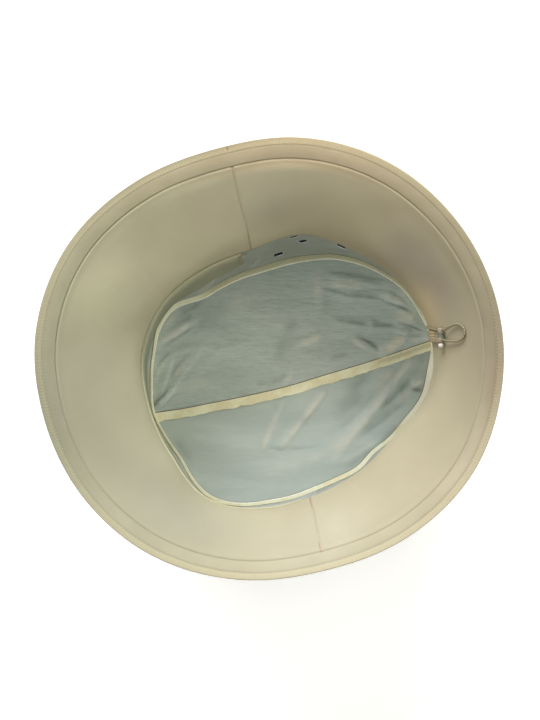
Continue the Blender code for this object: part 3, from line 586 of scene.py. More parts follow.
def unit(vectors):
    return vectors / np.linalg.norm(vectors, axis=-1, keepdims=True)


def eased(values, turn):
    """A value at any turn, on a smooth closed curve through values set evenly round the hat."""
    values = np.asarray(values, float)
    place = np.mod(turn, 360.0) / 360.0 * len(values)
    first = np.floor(place).astype(int)
    share = place - first
    before, here, after, beyond = (values[(first + step) % len(values)] for step in (-1, 0, 1, 2))
    rise = (after - before) / 2.0
    next_rise = (beyond - here) / 2.0
    gap = here - after
    return here + share * (rise + share * (-3 * gap - 2 * rise - next_rise
                                           + share * (2 * gap + rise + next_rise)))


def turned(turn):
    """The same turn as an angle from -180 to 180 degrees."""
    return np.mod(turn + 180.0, 360.0) - 180.0


def heading(turn):
    """The level direction at a turn, measured from +X to +Y."""
    angle = np.radians(np.asarray(turn, float))
    return np.stack((np.cos(angle), np.sin(angle), np.zeros_like(angle)), axis=-1)


def outline(name, turn, long, wide, centre):
    """Places on one of the named outlines, at turns about its own centre."""
    way = heading(turn)
    radius = eased(OUTLINES[name], turn) / np.hypot(way[..., 0] * 2.0 / wide, way[..., 1] * 2.0 / long)
    return np.asarray(centre) + way * radius[..., None]


def tip_edge(turn, inset=0.0):
    """Places in from the side wall's foot, which stands out as far as the tip seam's tape does."""
    s = sizes()
    foot = (eased(TAPE_WIDE, turn) - eased(TAPE_INNER, turn)) * MM
    inset = 2.0 * (np.asarray(inset) - foot)
    return outline("tip", turn, s.tip_length - inset, s.tip_width - inset,
                   (TIP_SIDE_SHIFT, TIP_BACK_SHIFT, 0.0))


def opening_edge(turn):
    s = sizes()
    out = 2.0 * eased(OPENING_OUT, turn) * MM
    return outline("opening", turn, s.opening_length + out, s.opening_width + out,
                   (OPENING_SIDE_SHIFT, OPENING_BACK_SHIFT, 0.0))


def rim_edge(turn):
    """The brim's outer edge, raised by the four named rises."""
    s = sizes()
    place = outline("rim", turn, s.hat_length, s.hat_width, (0.0, 0.0, 0.0))
    way = heading(turn)
    mean = (s.rise_front + s.rise_back + s.rise_left + s.rise_right) / 4.0
    saddle = (s.rise_right + s.rise_left - s.rise_front - s.rise_back) / 4.0
    place[..., 2] = (s.crown_height + mean + (s.rise_right - s.rise_left) / 2.0 * way[..., 0]
                     + (s.rise_back - s.rise_front) / 2.0 * way[..., 1]
                     + saddle * (way[..., 0] ** 2 - way[..., 1] ** 2))
    return place


def seam_bow(share):
    """How far the tip's centre seam bows at a share of its length from the front, in metres."""
    marks = np.linspace(0.0, 1.0, len(SEAM_BOW))
    near = np.linspace(-SEAM_BOW_SOFTENING, SEAM_BOW_SOFTENING, 7)
    return sum(np.interp(share + step, marks, SEAM_BOW) for step in near) / len(near) * MM


def wall_place(turn, height):
    """The side wall's inner face, from the tip seam at height 0 to the opening at 1."""
    turn, height = np.broadcast_arrays(np.asarray(turn, float), np.asarray(height, float))
    low, high = tip_edge(turn), opening_edge(turn)
    place = low + (high - low) * height[..., None]
    bulge = WALL_BULGE * np.sin(np.pi * np.clip(height, 0.0, 1.0))
    place = place + heading(turn) * bulge[..., None]
    start = sizes().crown_cloth
    place[..., 2] = start + (sizes().crown_height - GAP - start) * height
    return place


def brim_path(turn_in, turn_out, steps=64):
    """The brim's inner face in columns from the opening to its edge: a short neck, then one curve."""
    low = opening_edge(turn_in)
    low[..., 2] = sizes().crown_height
    neck = low + np.array((0.0, 0.0, NECK_HEIGHT))
    edge = rim_edge(turn_out)

    def handle(out, up):
        place = neck + (edge - neck) * out
        place[..., 2] = neck[..., 2] + (edge[..., 2] - neck[..., 2]) * up
        return place

    steep, flat = handle(STEEP_OUT, STEEP_UP), handle(LIP_OUT, 1.0 - eased(LIP_SHARES, turn_out))
    b = np.linspace(0.0, 1.0, steps + 1)[None, :, None]
    a = 1.0 - b
    curve = (a ** 3 * neck[:, None] + 3 * a * a * b * steep[:, None] + 3 * a * b * b * flat[:, None]
             + b ** 3 * edge[:, None])
    return np.concatenate((low[:, None], curve), axis=1)


def runs(places):
    """The straight lengths from each place of a line to the next."""
    return np.linalg.norm(np.diff(places, axis=-2), axis=-1)


def path_length(path):
    return runs(path).sum(axis=-1)


def walk(path, distance):
    """Places at distances along each column's path, which runs on straight past its ends."""
    lengths = runs(path)
    along = np.concatenate((np.zeros((len(path), 1)), np.cumsum(lengths, axis=1)), axis=1)
    places = np.empty((*distance.shape, 3))
    for row, (marks, run, points, wanted) in enumerate(zip(along, lengths, path, distance)):
        first = np.clip(np.searchsorted(marks, wanted, side="right") - 1, 0, len(run) - 1)
        share = (wanted - marks[first]) / run[first]
        places[row] = points[first] + (points[first + 1] - points[first]) * share[:, None]
    return places


def brim_turns(part, share):
    """The turns at the opening and at the edge, a share of the way round one half of the brim."""
    first_in, first_out, last_in, last_out = {
        "back": (SEAM_RIGHT_IN, SEAM_RIGHT_OUT, SEAM_LEFT_IN, SEAM_LEFT_OUT),
        "front": (SEAM_LEFT_IN, SEAM_LEFT_OUT, SEAM_RIGHT_IN + 360, SEAM_RIGHT_OUT + 360)}[part]
    gap_in = math.degrees(GAP / sizes().opening_width)
    gap_out = math.degrees(GAP / sizes().hat_width)
    first_in, last_in = first_in + gap_in, last_in - gap_in
    first_out, last_out = first_out + gap_out, last_out - gap_out
    return first_in + (last_in - first_in) * share, first_out + (last_out - first_out) * share


def brim_cloth(part, share, distance):
    """Places on the brim and the way off it into the hat. Distances run along each column's path."""
    path = brim_path(*brim_turns(part, share))
    places = walk(path, distance)
    out = walk(path, distance + STEP) - walk(path, distance - STEP)
    along = np.gradient(places, axis=0)
    return places, -unit(np.cross(along, out))


def cord_cloth(left, ahead):
    """The brim's inner face in the drawcord's frame."""
    lean = math.radians(CORD_LEAN)
    across = left * math.cos(lean) - ahead * math.sin(lean)
    out = ahead * math.cos(lean) + left * math.sin(lean)
    turn = CORD_TURN + np.degrees(across / (sizes().opening_length / 2))
    share = (turn - SEAM_RIGHT_IN) / (SEAM_LEFT_IN - SEAM_RIGHT_IN)
    path = brim_path(*brim_turns("back", share), steps=16)
    return walk(path, out[:, None])[:, 0]


def raised(surface, lift):
    """The same surface, lifted to the inner side of the hat."""
    def place(a, b):
        a, b = np.atleast_1d(np.asarray(a, float)), np.atleast_1d(np.asarray(b, float))
        along = surface(a + STEP, b) - surface(a - STEP, b)
        up = surface(a, b + STEP) - surface(a, b - STEP)
        return surface(a, b) - unit(np.cross(along, up)) * np.asarray(lift)[..., None]
    return place


def frame_at(along, up, place):
    """A place with X along the first way, Y near the second one and Z square to both."""
    along = along.normalized()
    off = along.cross(up.normalized()).normalized()
    made = Matrix((along, off.cross(along), off)).transposed().to_4x4()
    made.translation = place
    return made


def lock_frame():
    """The lock's place: X along its barrel to the right, Y ahead on the cloth and Z off the cloth."""
    reach = trim().lock_diameter / 2
    over = raised(cord_cloth, reach + LOCK_CLEARANCE)

    def at(left, ahead):
        return Vector(over(left, ahead)[0])

    along = at(LOCK_LEFT - reach, LOCK_AHEAD) - at(LOCK_LEFT + reach, LOCK_AHEAD)
    ahead = at(LOCK_LEFT, LOCK_AHEAD + reach) - at(LOCK_LEFT, LOCK_AHEAD - reach)
    return frame_at(along, ahead, at(LOCK_LEFT, LOCK_AHEAD))


def cord_line():
    """The drawcord's middle line, as closely set points of a smooth curve through its route."""
    place = lock_frame()
    over = trim().cord / 2 + GAP

    def on_cloth(rows):
        return [Vector(raised(cord_cloth, over + row.lift)(row.left, row.ahead)[0]) for row in rows]

    def through_lock(side, way):
        reach = trim().lock_diameter / 2 + BORE_CLEARANCE
        return [place @ Vector((side * STRAND_SPACING / 2, way * reach * step, 0.0))
                for step in (-1, 0, 1)]

    route = (on_cloth(CORD_TO_LOCK) + through_lock(-1, 1) + on_cloth(CORD_LOOP)
             + through_lock(1, -1) + on_cloth(CORD_TO_TAB))
    route = [2 * route[0] - route[1], *route, 2 * route[-1] - route[-2]]
    line = []
    for a, b, c, d in zip(route, route[1:], route[2:], route[3:]):
        for step in range(CORD_STEPS):
            s = step / CORD_STEPS
            line.append(0.5 * (2 * b + (c - a) * s + (2 * a - 5 * b + 4 * c - d) * s * s
                               + (3 * b - a - 3 * c + d) * s ** 3))
    line.append(route[-2])
    return line


# Relief: how far cloth stands off its surface


def hills(x, y, seed):
    """Smooth hills and hollows from -1 to 1, about one unit across, on a table that repeats."""
    many = 64
    table = np.random.default_rng(seed).uniform(-1.0, 1.0, (many, many))
    x, y = np.broadcast_arrays(x, y)
    i, j = np.floor(x).astype(int), np.floor(y).astype(int)
    u, v = x - i, y - j
    u, v = u * u * (3 - 2 * u), v * v * (3 - 2 * v)
    near, far = i % many, (i + 1) % many
    low, high = (table[near, row % many] * (1 - u) + table[far, row % many] * u for row in (j, j + 1))
    return low * (1 - v) + high * v


def waves(name, x, y):
    """The named sets of soft waves, added up at places in millimetres."""
    return sum(row.height * hills(x / row.wide, y / row.long, row.seed) for row in WAVES[name])


def bump(distance, width):
    return np.exp(-(distance / width) ** 2)


def ramp(low, high, value):
    share = np.clip((value - low) / (high - low), 0.0, 1.0)
    return share * share * (3 - 2 * share)


def plateau(value, low, full, still, gone):
    """1 from full to still, easing to 0 at low and at gone."""
    return ramp(low, full, value) * ramp(gone, still, value)


def creased(creases, x, y, scale=(1.0, 1.0), end_fade=0.0):
    """The height of a set of creases at places x, y, all in millimetres."""
    height = np.zeros(np.broadcast(x, y).shape)
    for crease in creases:
        start = np.array((crease.x * scale[0], crease.y * scale[1]))
        run = np.array((crease.to_x * scale[0], crease.to_y * scale[1])) - start
        long = np.hypot(*run)
        way = run / long
        along = ((x - start[0]) * way[0] + (y - start[1]) * way[1]) / long
        across = (x - start[0]) * -way[1] + (y - start[1]) * way[0]
        width = crease.width * np.where(across > 0, 1.0 + crease.skew, 1.0 - crease.skew)
        soft = CREASE_END * crease.width / long
        fade = max(0.5 * soft, end_fade)
        strength = crease.start + (crease.end - crease.start) * np.clip(along, 0.0, 1.0)
        strength = strength * ramp(-soft, fade, along) * ramp(1 + soft, 1 - fade, along)
        height = height + crease.height * strength * bump(across, width)
    return height


def painted_brim_shading(part, share, distance):
    """The brim's painted light and shade: how much its red, green and blue change at distances out
    along each column's path.
    """
    turn_in, turn_out = brim_turns(part, share)
    inset = path_length(brim_path(turn_in, turn_out))[:, None] - distance
    change = np.zeros((*distance.shape, 3))
    for tints, turn, reach in ((BRIM_PAINTED_SHADING, turn_in, distance), (RIM_PAINTED_SHADING, turn_out, inset)):
        for tint in tints:
            much = (bump(turned(turn[:, None] - tint.turn), tint.wide)
                    * bump(reach / MM - tint.out, tint.deep))
            change = change + much[..., None] * np.array(tint.change)
    return change


def degree_arc():
    """How far one degree runs round the opening, in millimetres."""
    return math.radians(1.0) * sizes().opening_width / 2 / MM


def wall_relief(turn, height):
    """How far the wall stands in from its smooth surface, in millimetres."""
    arc, tall = degree_arc(), sizes().crown_height / MM
    turn = np.mod(turn, 360.0)
    up = height * tall
    lift = creased(WALL_CREASES, turn * arc, up, (arc, tall))
    gathers = -np.abs(waves("wall_gathers", turn * arc, up)) * bump(up - GATHERS_UP, GATHERS_UP)
    broad = waves("wall", turn * arc, up) - WALL_EASE
    lift = lift + (gathers + broad) * ramp(*WALL_WAVES_FROM, up)
    foot = (wall_place(turn, height) - tip_edge(turn))[..., :2]
    lift = lift + np.linalg.norm(foot, axis=-1) / MM * ramp(*WALL_FOOT_TO, up)
    for vent in VENTS:
        below = up - vent.height * tall + SLOT_PUFF_BELOW
        aside = turned(turn - vent.turn) * arc
        lift = lift + vent.puff * bump(aside, SLOT_PUFF_WIDE) * bump(below, SLOT_PUFF_HIGH)
    band = (ramp(BAND_LEFT_END - 8, BAND_LEFT_END - 1, turn)
            * ramp(BAND_RIGHT_END + 7, BAND_RIGHT_END, turn))
    behind_band = np.where(band > 0, ramp(*WALL_FLAT_BEHIND_BAND, height) * band + 1 - band, 1.0)
    return lift * behind_band * ramp(*WALL_FLAT_AT_TOP, height)


def wall_inner(turn, height):
    """The side wall's dressed inner face."""
    turn, height = np.broadcast_arrays(np.asarray(turn, float), np.asarray(height, float))
    lift = wall_relief(turn, height) * MM
    return wall_place(turn, height) - heading(turn) * lift[..., None]


# Tools: selection, pieces and stitches


def clear():
    """Leaves edit mode and deselects everything."""
    if bpy.context.mode != "OBJECT":
        bpy.ops.object.mode_set(mode="OBJECT")
    bpy.ops.object.select_all(action="DESELECT")


def pick(*pieces):
    """Selects only these pieces, with the first one active."""
    clear()
    for piece in pieces:
        piece.select_set(True)
    bpy.context.view_layer.objects.active = pieces[0]


def named(name):
    """Names the piece that an operator has just made, and its data."""
    made = bpy.context.object
    made.name = made.data.name = name
    return made


def set_place(piece, matrix):
    """Puts a piece's place into its mesh, with its object at the origin."""
    piece.matrix_world = matrix
    pick(piece)
    bpy.ops.object.transform_apply(location=True, rotation=True, scale=True)


def apply_modifiers(piece):
    pick(piece)
    for modifier in list(piece.modifiers):
        bpy.ops.object.modifier_apply(modifier=modifier.name)


@contextmanager
def editing(whole=True):
    """Edit mode on the active piece, with all of its mesh selected if whole, then object mode."""
    bpy.ops.object.mode_set(mode="EDIT")
    if whole:
        bpy.ops.mesh.select_all(action="SELECT")
    yield
    bpy.ops.object.mode_set(mode="OBJECT")


def cut(piece, cutter):
    """Cuts a shape out of a piece and removes the shape."""
    hole = piece.modifiers.new("hole", "BOOLEAN")
    hole.operation = "DIFFERENCE"
    hole.object = cutter
    apply_modifiers(piece)
    bpy.data.objects.remove(cutter)


def corners(mesh):
    """A mesh's corners as rows of X, Y and Z."""
    places = np.empty(len(mesh.vertices) * 3)
    mesh.vertices.foreach_get("co", places)
    return places.reshape(-1, 3)


def lay_uv(mesh, layer, flat):
    """Lays a UV map with each of the mesh's corners at its own flat place."""
    loops = np.empty(len(mesh.loops), int)
    mesh.loops.foreach_get("vertex_index", loops)
    layer.data.foreach_set("uv", flat[loops].ravel())


def cloth(name, places, flat, wall=0.0, side=1, ring=False, tube=False, tone=None, tint=None,
          outside=(0.0, 0.0, 0.0)):
    """A grid of cloth with its corners at places[along, up] and its UV map at flat, in metres.

    Side 1 grows its wall out of the hat, -1 into it. A tube closes up and has its ends filled, or
    closes along as well if it is a ring. Tone and tint, which hold painted light and shade, are kept
    in the attributes fold and tint that the materials read, and outside is the tint of the face that
    the wall grows.
    """
    wide, high = places.shape[0] - 1, places.shape[1] - 1
    clear()
    bpy.ops.mesh.primitive_grid_add(x_subdivisions=wide, y_subdivisions=high, size=2)
    piece = named(name)
    mesh = piece.data
    start = corners(mesh)
    i = np.rint((start[:, 0] + 1) / 2 * wide).astype(int)
    j = np.rint((start[:, 1] + 1) / 2 * high).astype(int)
    mesh.vertices.foreach_set("co", places[i, j].ravel())
    if tone is not None:
        mesh.attributes.new("fold", "FLOAT", "POINT").data.foreach_set("value", tone[i, j].ravel())
    if tint is not None:
        change = mesh.attributes.new("tint", "FLOAT_VECTOR", "POINT")
        change.data.foreach_set("vector", tint[i, j].ravel())
    lay_uv(mesh, mesh.uv_layers.active, flat[i, j])
    mesh.update()
    if tube:
        with editing():
            bpy.ops.mesh.remove_doubles(threshold=1e-7)
            if not ring:
                bpy.ops.mesh.select_all(action="SELECT")
                bpy.ops.mesh.fill_holes(sides=0)
            bpy.ops.mesh.select_all(action="SELECT")
            bpy.ops.mesh.normals_make_consistent(inside=False)
    if wall:
        solid = piece.modifiers.new("wall", "SOLIDIFY")
        solid.thickness = wall
        solid.offset = side
        solid.use_even_offset = True
        apply_modifiers(piece)
    if tint is not None and wall:
        first = np.abs(corners(mesh)[:len(i)] - places[i, j]).max() < 1e-6
        change = np.tile(np.array(outside), (len(mesh.vertices), 1))
        change[slice(0, len(i)) if first else slice(len(i), None)] = tint[i, j]
        mesh.attributes["tint"].data.foreach_set("vector", change.ravel())
    smooth(piece)
    return piece


def smooth(piece, angle=50.0):
    pick(piece)
    bpy.ops.object.shade_smooth_by_angle(angle=math.radians(angle))


def flat_grid(x, y):
    x, y = np.broadcast_arrays(x, y)
    return np.stack((x, y), axis=-1)


def done(piece, finish, slot, *nodes):
    """Finishes a piece: its material, the solids it stands for and its body. Slot is not used."""
    piece.data.materials.clear()
    piece.data.materials.append(finish)
    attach(piece, "root")
    if nodes:
        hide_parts(*nodes)
    return piece


def curve(name, points, closed=False):
    """A curve of one spline that runs straight from point to point."""
    line = bpy.data.curves.new(name, "CURVE")
    line.dimensions = "3D"
    spline = line.splines.new("POLY")
    spline.points.add(len(points) - 1)
    spline.points.foreach_set("co", np.column_stack((points, np.ones(len(points)))).ravel())
    spline.use_cyclic_u = closed
    made = bpy.data.objects.new(name, line)
    bpy.context.collection.objects.link(made)
    return made


def tube(name, points, thick, closed=False, resolution=2):
    """A thread or cord as a round curve through points, made a mesh."""
    piece = curve(name, points, closed)
    piece.data.bevel_depth = thick / 2
    piece.data.bevel_resolution = resolution
    piece.data.use_fill_caps = not closed
    pick(piece)
    bpy.ops.object.convert(target="MESH")
    piece = named(name)
    smooth(piece, 60)
    return piece


def stitches(name, points, finish):
    """A row of stitches: one is modelled, then arrayed and bent along the row's points."""
    t = trim()
    clear()
    bpy.ops.mesh.primitive_ico_sphere_add(subdivisions=1, radius=0.5)
    row = named(name)
    bpy.ops.transform.resize(value=(t.stitch * STITCH_STRETCH, t.thread, t.thread))
    bpy.ops.object.transform_apply(location=True, rotation=True, scale=True)
    with editing():
        bpy.ops.transform.translate(value=(t.stitch_pitch / 2, 0.0, 0.0))
    guide = curve("guide", points)
    guide.data.twist_mode = "Z_UP"
    array = row.modifiers.new("row", "ARRAY")
    array.use_relative_offset = False
    array.use_constant_offset = True
    array.constant_offset_displace = (t.stitch_pitch, 0.0, 0.0)
    array.count = max(1, int(runs(points).sum() / t.stitch_pitch))
    bend = row.modifiers.new("bend", "CURVE")
    bend.object = guide
    bend.deform_axis = "POS_X"
    apply_modifiers(row)
    bpy.data.objects.remove(guide)
    smooth(row, 80)
    return done(row, finish, "brim_cloth")


# Materials


def once(make):
    """Lets a finish be made the first time that its name is asked for, and found after that."""
    def finish(name, *values, **named_values):
        return bpy.data.materials.get(name) or make(name, *values, **named_values)
    return finish


def node(tree, kind, settings=(), inputs=()):
    """Adds a node with its settings and its inputs, each of them a value or a socket to link."""
    made = tree.nodes.new(kind)
    for name, value in dict(settings).items():
        setattr(made, name, value)
    for name, value in dict(inputs).items():
        if isinstance(value, bpy.types.NodeSocket):
            tree.links.new(value, made.inputs[name])
        else:
            made.inputs[name].default_value = value
    return made


def bands(spacing):
    """The wave texture's scale that draws one thread light and the next one dark."""
    return math.pi / 10 / spacing / 2


def darker(tone, share):
    return tuple(share * part for part in tone)


def start_material(name, roughness, ior=1.5, sheen=0.0, sheen_tint=(1.0, 1.0, 1.0), subsurface=0.0):
    """A Principled material with its constant values set on the shader's own sockets."""
    made = bpy.data.materials.new(name)
    made.use_nodes = True
    shader = made.node_tree.nodes["Principled BSDF"]
    for socket, value in (("Roughness", roughness), ("IOR", ior), ("Sheen Weight", sheen),
                          ("Sheen Roughness", 0.4), ("Sheen Tint", (*sheen_tint, 1.0)),
                          ("Subsurface Weight", subsurface), ("Subsurface Radius", LIGHT_REACH)):
        shader.inputs[socket].default_value = value
    return made, made.node_tree, shader


def two_tones(tree, shader, pattern, low, high, strength, depth):
    """Colours and raises a surface by a pattern that runs from 0 to 1."""
    tone = node(tree, "ShaderNodeMix", {"data_type": "RGBA"},
                {"Factor": pattern, 6: (*low, 1.0), 7: (*high, 1.0)})
    relief = node(tree, "ShaderNodeBump",
                  inputs={"Height": pattern, "Strength": strength, "Distance": depth})
    tree.links.new(tone.outputs[2], shader.inputs["Base Color"])
    tree.links.new(relief.outputs[0], shader.inputs["Normal"])


@once
def woven(name, main, shade, thread, patch, roughness, sheen, depth, grain, streaks=(1.0, 1.0),
          lean=0.0, edge=None, crinkle=0.0, fold=None, cross=False, tint=False):
    """A plain weave on the piece's own UV map, with soft patches of a second shade.

    Thread is the spacing of its threads and patch the size of its patches, both in metres. Edge is a
    colour, painted light on the hem and the sweatband, and the two distances up the UV map between
    which it comes in. Streaks stretch the patches and crinkles, lean turns them, fold is the pale and
    the dark colour, painted highlight and painted shade, that the fold attribute brings in with their
    shares, and cross leaves only the threads that run across the piece. Tint lets the tint attribute,
    which holds painted light and shade, change the colour.
    """
    made, tree, shader = start_material(name, roughness, ior=1.46, sheen=sheen, sheen_tint=main)
    uv = node(tree, "ShaderNodeUVMap")
    warp, weft = (node(tree, "ShaderNodeTexWave", {"wave_profile": "SIN", "bands_direction": way},
                       {"Vector": uv.outputs[0], "Scale": bands(thread), "Distortion": 0.4,
                        "Detail": 1.0, "Detail Scale": 3.0}) for way in "XY")
    over = node(tree, "ShaderNodeTexChecker", inputs={"Vector": uv.outputs[0], "Scale": 1.0 / thread})
    weave = node(tree, "ShaderNodeMix", {"data_type": "FLOAT"},
                 {"Factor": 0.0 if cross else over.outputs["Fac"], 2: warp.outputs["Fac"],
                  3: weft.outputs["Fac"]})
    place = node(tree, "ShaderNodeTexCoord")
    stretched = node(tree, "ShaderNodeMapping", {"vector_type": "TEXTURE"},
                     {"Vector": place.outputs["Object"], "Rotation": (0.0, 0.0, lean),
                      "Scale": (*streaks, 1.0)})
    patches = node(tree, "ShaderNodeTexNoise", inputs={
        "Vector": stretched.outputs[0], "Scale": 1.0 / patch, "Detail": 3.0, "Roughness": 0.55})
    spread = node(tree, "ShaderNodeMapRange", {"interpolation_type": "SMOOTHSTEP"},
                  {"Value": patches.outputs["Fac"], "From Min": 0.36, "From Max": 0.66})
    layers = [(spread, shade)]
    if edge:
        apart = node(tree, "ShaderNodeSeparateXYZ", inputs={"Vector": uv.outputs[0]})
        near = node(tree, "ShaderNodeMapRange", {"interpolation_type": "SMOOTHSTEP"},
                    {"Value": apart.outputs["Y"], "From Min": edge[1], "From Max": edge[2]})
        layers.append((near, edge[0]))
    if fold:
        mark = node(tree, "ShaderNodeAttribute", {"attribute_name": "fold"})
        for hue, share, way in ((*fold[:2], 1.0), (*fold[2:], -1.0)):
            much = node(tree, "ShaderNodeMapRange", inputs={
                "Value": mark.outputs["Fac"], "From Min": 0.0, "From Max": way, "To Max": share})
            layers.append((much, hue))
    tone = (*main, 1.0)
    for much, hue in layers:
        tone = node(tree, "ShaderNodeMix", {"data_type": "RGBA"},
                    {"Factor": much.outputs[0], 6: tone, 7: (*hue, 1.0)}).outputs[2]
    fuzz = node(tree, "ShaderNodeTexNoise", inputs={
        "Vector": stretched.outputs[0] if crinkle else uv.outputs[0],
        "Scale": 1.0 / CRINKLE_MOTTLE if crinkle else 0.4 / thread, "Detail": 3.0, "Roughness": 0.65})
    mottled = 4.0 * grain if crinkle else grain
    dark, mottle = (node(tree, "ShaderNodeMath", {"operation": "MULTIPLY_ADD"},
                         {0: pattern, 1: much, 2: level - much / 2})
                    for pattern, much, level in ((weave.outputs[0], grain, 1.0),
                                                 (fuzz.outputs["Fac"], mottled, 0.0)))
    level = node(tree, "ShaderNodeMath", {"operation": "ADD"},
                 {0: dark.outputs[0], 1: mottle.outputs[0]})
    shaded = node(tree, "ShaderNodeVectorMath", {"operation": "SCALE"},
                  {0: tone, "Scale": level.outputs[0]})
    if tint:
        change = node(tree, "ShaderNodeAttribute", {"attribute_name": "tint"})
        shaded = node(tree, "ShaderNodeVectorMath", {"operation": "MULTIPLY_ADD"},
                      {0: shaded.outputs[0], 1: change.outputs["Vector"], 2: shaded.outputs[0]})
    tree.links.new(shaded.outputs[0], shader.inputs["Base Color"])
    relief = node(tree, "ShaderNodeBump",
                  inputs={"Height": weave.outputs[0], "Strength": depth, "Distance": thread * 0.5})
    if crinkle:
        folds = node(tree, "ShaderNodeTexNoise", inputs={
            "Vector": stretched.outputs[0], "Scale": 1.0 / CRINKLE_WIDTH, "Detail": 3.0,
            "Roughness": 0.6})
        relief = node(tree, "ShaderNodeBump", inputs={
            "Height": folds.outputs["Fac"], "Strength": 0.9, "Distance": crinkle,
            "Normal": relief.outputs[0]})
    tree.links.new(relief.outputs[0], shader.inputs["Normal"])
    return made


# Brushed nylon microfibre, two layers sewn back to back: matt and smooth, with a soft bloom at
# grazing angles. Its real threads are 0.2 mm apart, drawn here at 0.45 mm so that they show.
MICROFIBRE = dict(thread=0.45 * MM, roughness=0.85, sheen=0.15, depth=0.25, grain=0.06, tint=True)

# Thin downproof nylon: a faint satin, fine crinkles, and threads 0.15 mm apart that are drawn at
# 0.5 mm
NYLON = dict(thread=0.5 * MM, roughness=0.55, sheen=0.10, depth=0.2)


def brim_finish():
    # Microfibre with broad soft patches where it has darkened, and painted light and shade from its
    # tint attribute
    c = colours()
    return woven("khaki_microfibre", c.brim, c.brim_shade, patch=0.045, **MICROFIBRE)


def hem_finish():
    # The same microfibre folded and sewn into the hem, its outer strip painted a little lighter and
    # yellower as painted light, with the rim's painted light and shade from its tint attribute
    c = colours()
    return woven("khaki_microfibre_hem", c.brim, c.brim_shade, patch=0.030,
                 edge=(c.hem, 0.0088, 0.0102), **MICROFIBRE)


def tab_finish():
    # Tan grosgrain binding on the cord's tab: matt, ribbed across, with ribs 0.9 mm apart
    c = colours()
    return woven("tan_grosgrain", c.tab, c.tab_shade, thread=0.9 * MM, patch=0.004, roughness=0.8,
                 sheen=0.10, depth=0.5, grain=0.25, cross=True)


def crown_finish(side):
    # Nylon whose crinkles run from front to back and lie flatter in the right half, with painted
    # highlights on its raised creases and painted shade in its hollows
    c = colours()
    name, crinkle, grain = (("grey_green_nylon", 0.80, 0.10),
                            ("grey_green_nylon_flat", 0.22, 0.035))[side > 0]
    return woven(name, c.crown, c.crown_shade, patch=0.020, grain=grain, streaks=(1.0, 4.5),
                 lean=math.radians(-CRINKLE_LEAN), crinkle=crinkle * MM,
                 fold=(c.crown_pale, 0.66, c.crown_dark, 0.68), **NYLON)


def wall_finish():
    # The same nylon on the side wall, painted darker and greyer as shade, where its crinkles are low
    # and run every way, with painted highlights and shade on its streaks and a darker painted outer
    # face
    c = colours()
    return woven("grey_green_nylon_wall", c.wall, darker(c.wall, 0.92), patch=0.025, grain=0.05,
                 crinkle=0.2 * MM, fold=(c.crown_pale, 0.5, c.crown_dark, 0.3), tint=True, **NYLON)


def satin_finish():
    # Polyester sweatband: a close smooth weave, 0.3 mm threads, with a low soft gloss, painted lighter
    # near the opening as painted light
    c, deep = colours(), sizes().band_depth
    return woven("olive_polyester_satin", c.sweatband, darker(c.sweatband, 0.9), thread=0.3 * MM,
                 patch=0.020, roughness=0.5, sheen=0.05, depth=0.2, grain=0.05,
                 edge=(c.band_edge, 0.45 * deep, 1.05 * deep))


def tape_finish():
    # Overlocked seam allowance: cream polyester wound across the edge, 0.8 mm threads, browned in
    # places, with a painted highlight on its rolled edge and painted shade on its face
    c = colours()
    return woven("cream_overlock", c.tape, c.tape_shade, thread=0.8 * MM, patch=0.014, roughness=0.8,
                 sheen=0.1, depth=0.4, grain=0.08, cross=True,
                 fold=(c.tape_roll, 0.9, c.tape_khaki, 1.0))


def slot_shade_net_finish():
    # Knitted net behind the slots: near black, dull, with 0.6 mm meshes; painted shade that keeps the
    # slots dark
    c = colours()
    return woven("black_net", c.net, darker(c.net, 0.6), thread=0.6 * MM, patch=0.004, roughness=0.9,
                 sheen=0.0, depth=0.8, grain=0.3)


@once
def thread_finish(name, tone):
    # Spun polyester thread: matt, with the twist of its two strands as slanted bands 0.4 mm apart
    made, tree, shader = start_material(name, 0.75, ior=1.46, sheen=0.1, sheen_tint=tone)
    place = node(tree, "ShaderNodeTexCoord")
    twist = node(tree, "ShaderNodeTexWave", {"bands_direction": "DIAGONAL"},
                 {"Vector": place.outputs["Object"], "Scale": bands(0.4 * MM)})
    two_tones(tree, shader, twist.outputs["Fac"], darker(tone, 0.85), tone, 0.4, 0.1 * MM)
    return made


@once
def braid_finish(name):
    # Braided polyester cord: crossing strands 0.7 mm wide with painted shade in the gaps between them
    c = colours()
    made, tree, shader = start_material(name, 0.7, ior=1.46, sheen=0.1, sheen_tint=c.cord)
    uv = node(tree, "ShaderNodeUVMap")
    slanted = node(tree, "ShaderNodeMapping",
                   inputs={"Vector": uv.outputs[0], "Rotation": (0, 0, math.radians(45))})
    one, two = (node(tree, "ShaderNodeTexWave", {"bands_direction": way},
                     {"Vector": slanted.outputs[0], "Scale": bands(0.7 * MM)}) for way in "XY")
    both = node(tree, "ShaderNodeMath", {"operation": "MULTIPLY"},
                {0: one.outputs["Fac"], 1: two.outputs["Fac"]})
    two_tones(tree, shader, both.outputs[0], c.cord_shade, c.cord, 0.7, 0.2 * MM)
    return made


@once
def plastic_finish(name, tone, roughness, clear_share):
    # Moulded acetal: cloudy, with fine moulding grain 1.2 mm wide and a soft highlight
    made, tree, shader = start_material(name, roughness, ior=1.49, subsurface=0.25)
    shader.inputs["Transmission Weight"].default_value = clear_share
    place = node(tree, "ShaderNodeTexCoord")
    cloud = node(tree, "ShaderNodeTexNoise", inputs={
        "Vector": place.outputs["Object"], "Scale": 1.0 / (1.2 * MM), "Detail": 2.0})
    two_tones(tree, shader, cloud.outputs["Fac"], darker(tone, 0.86), tone, 0.15, 0.05 * MM)
    return made


# Operators, in the order that main calls them


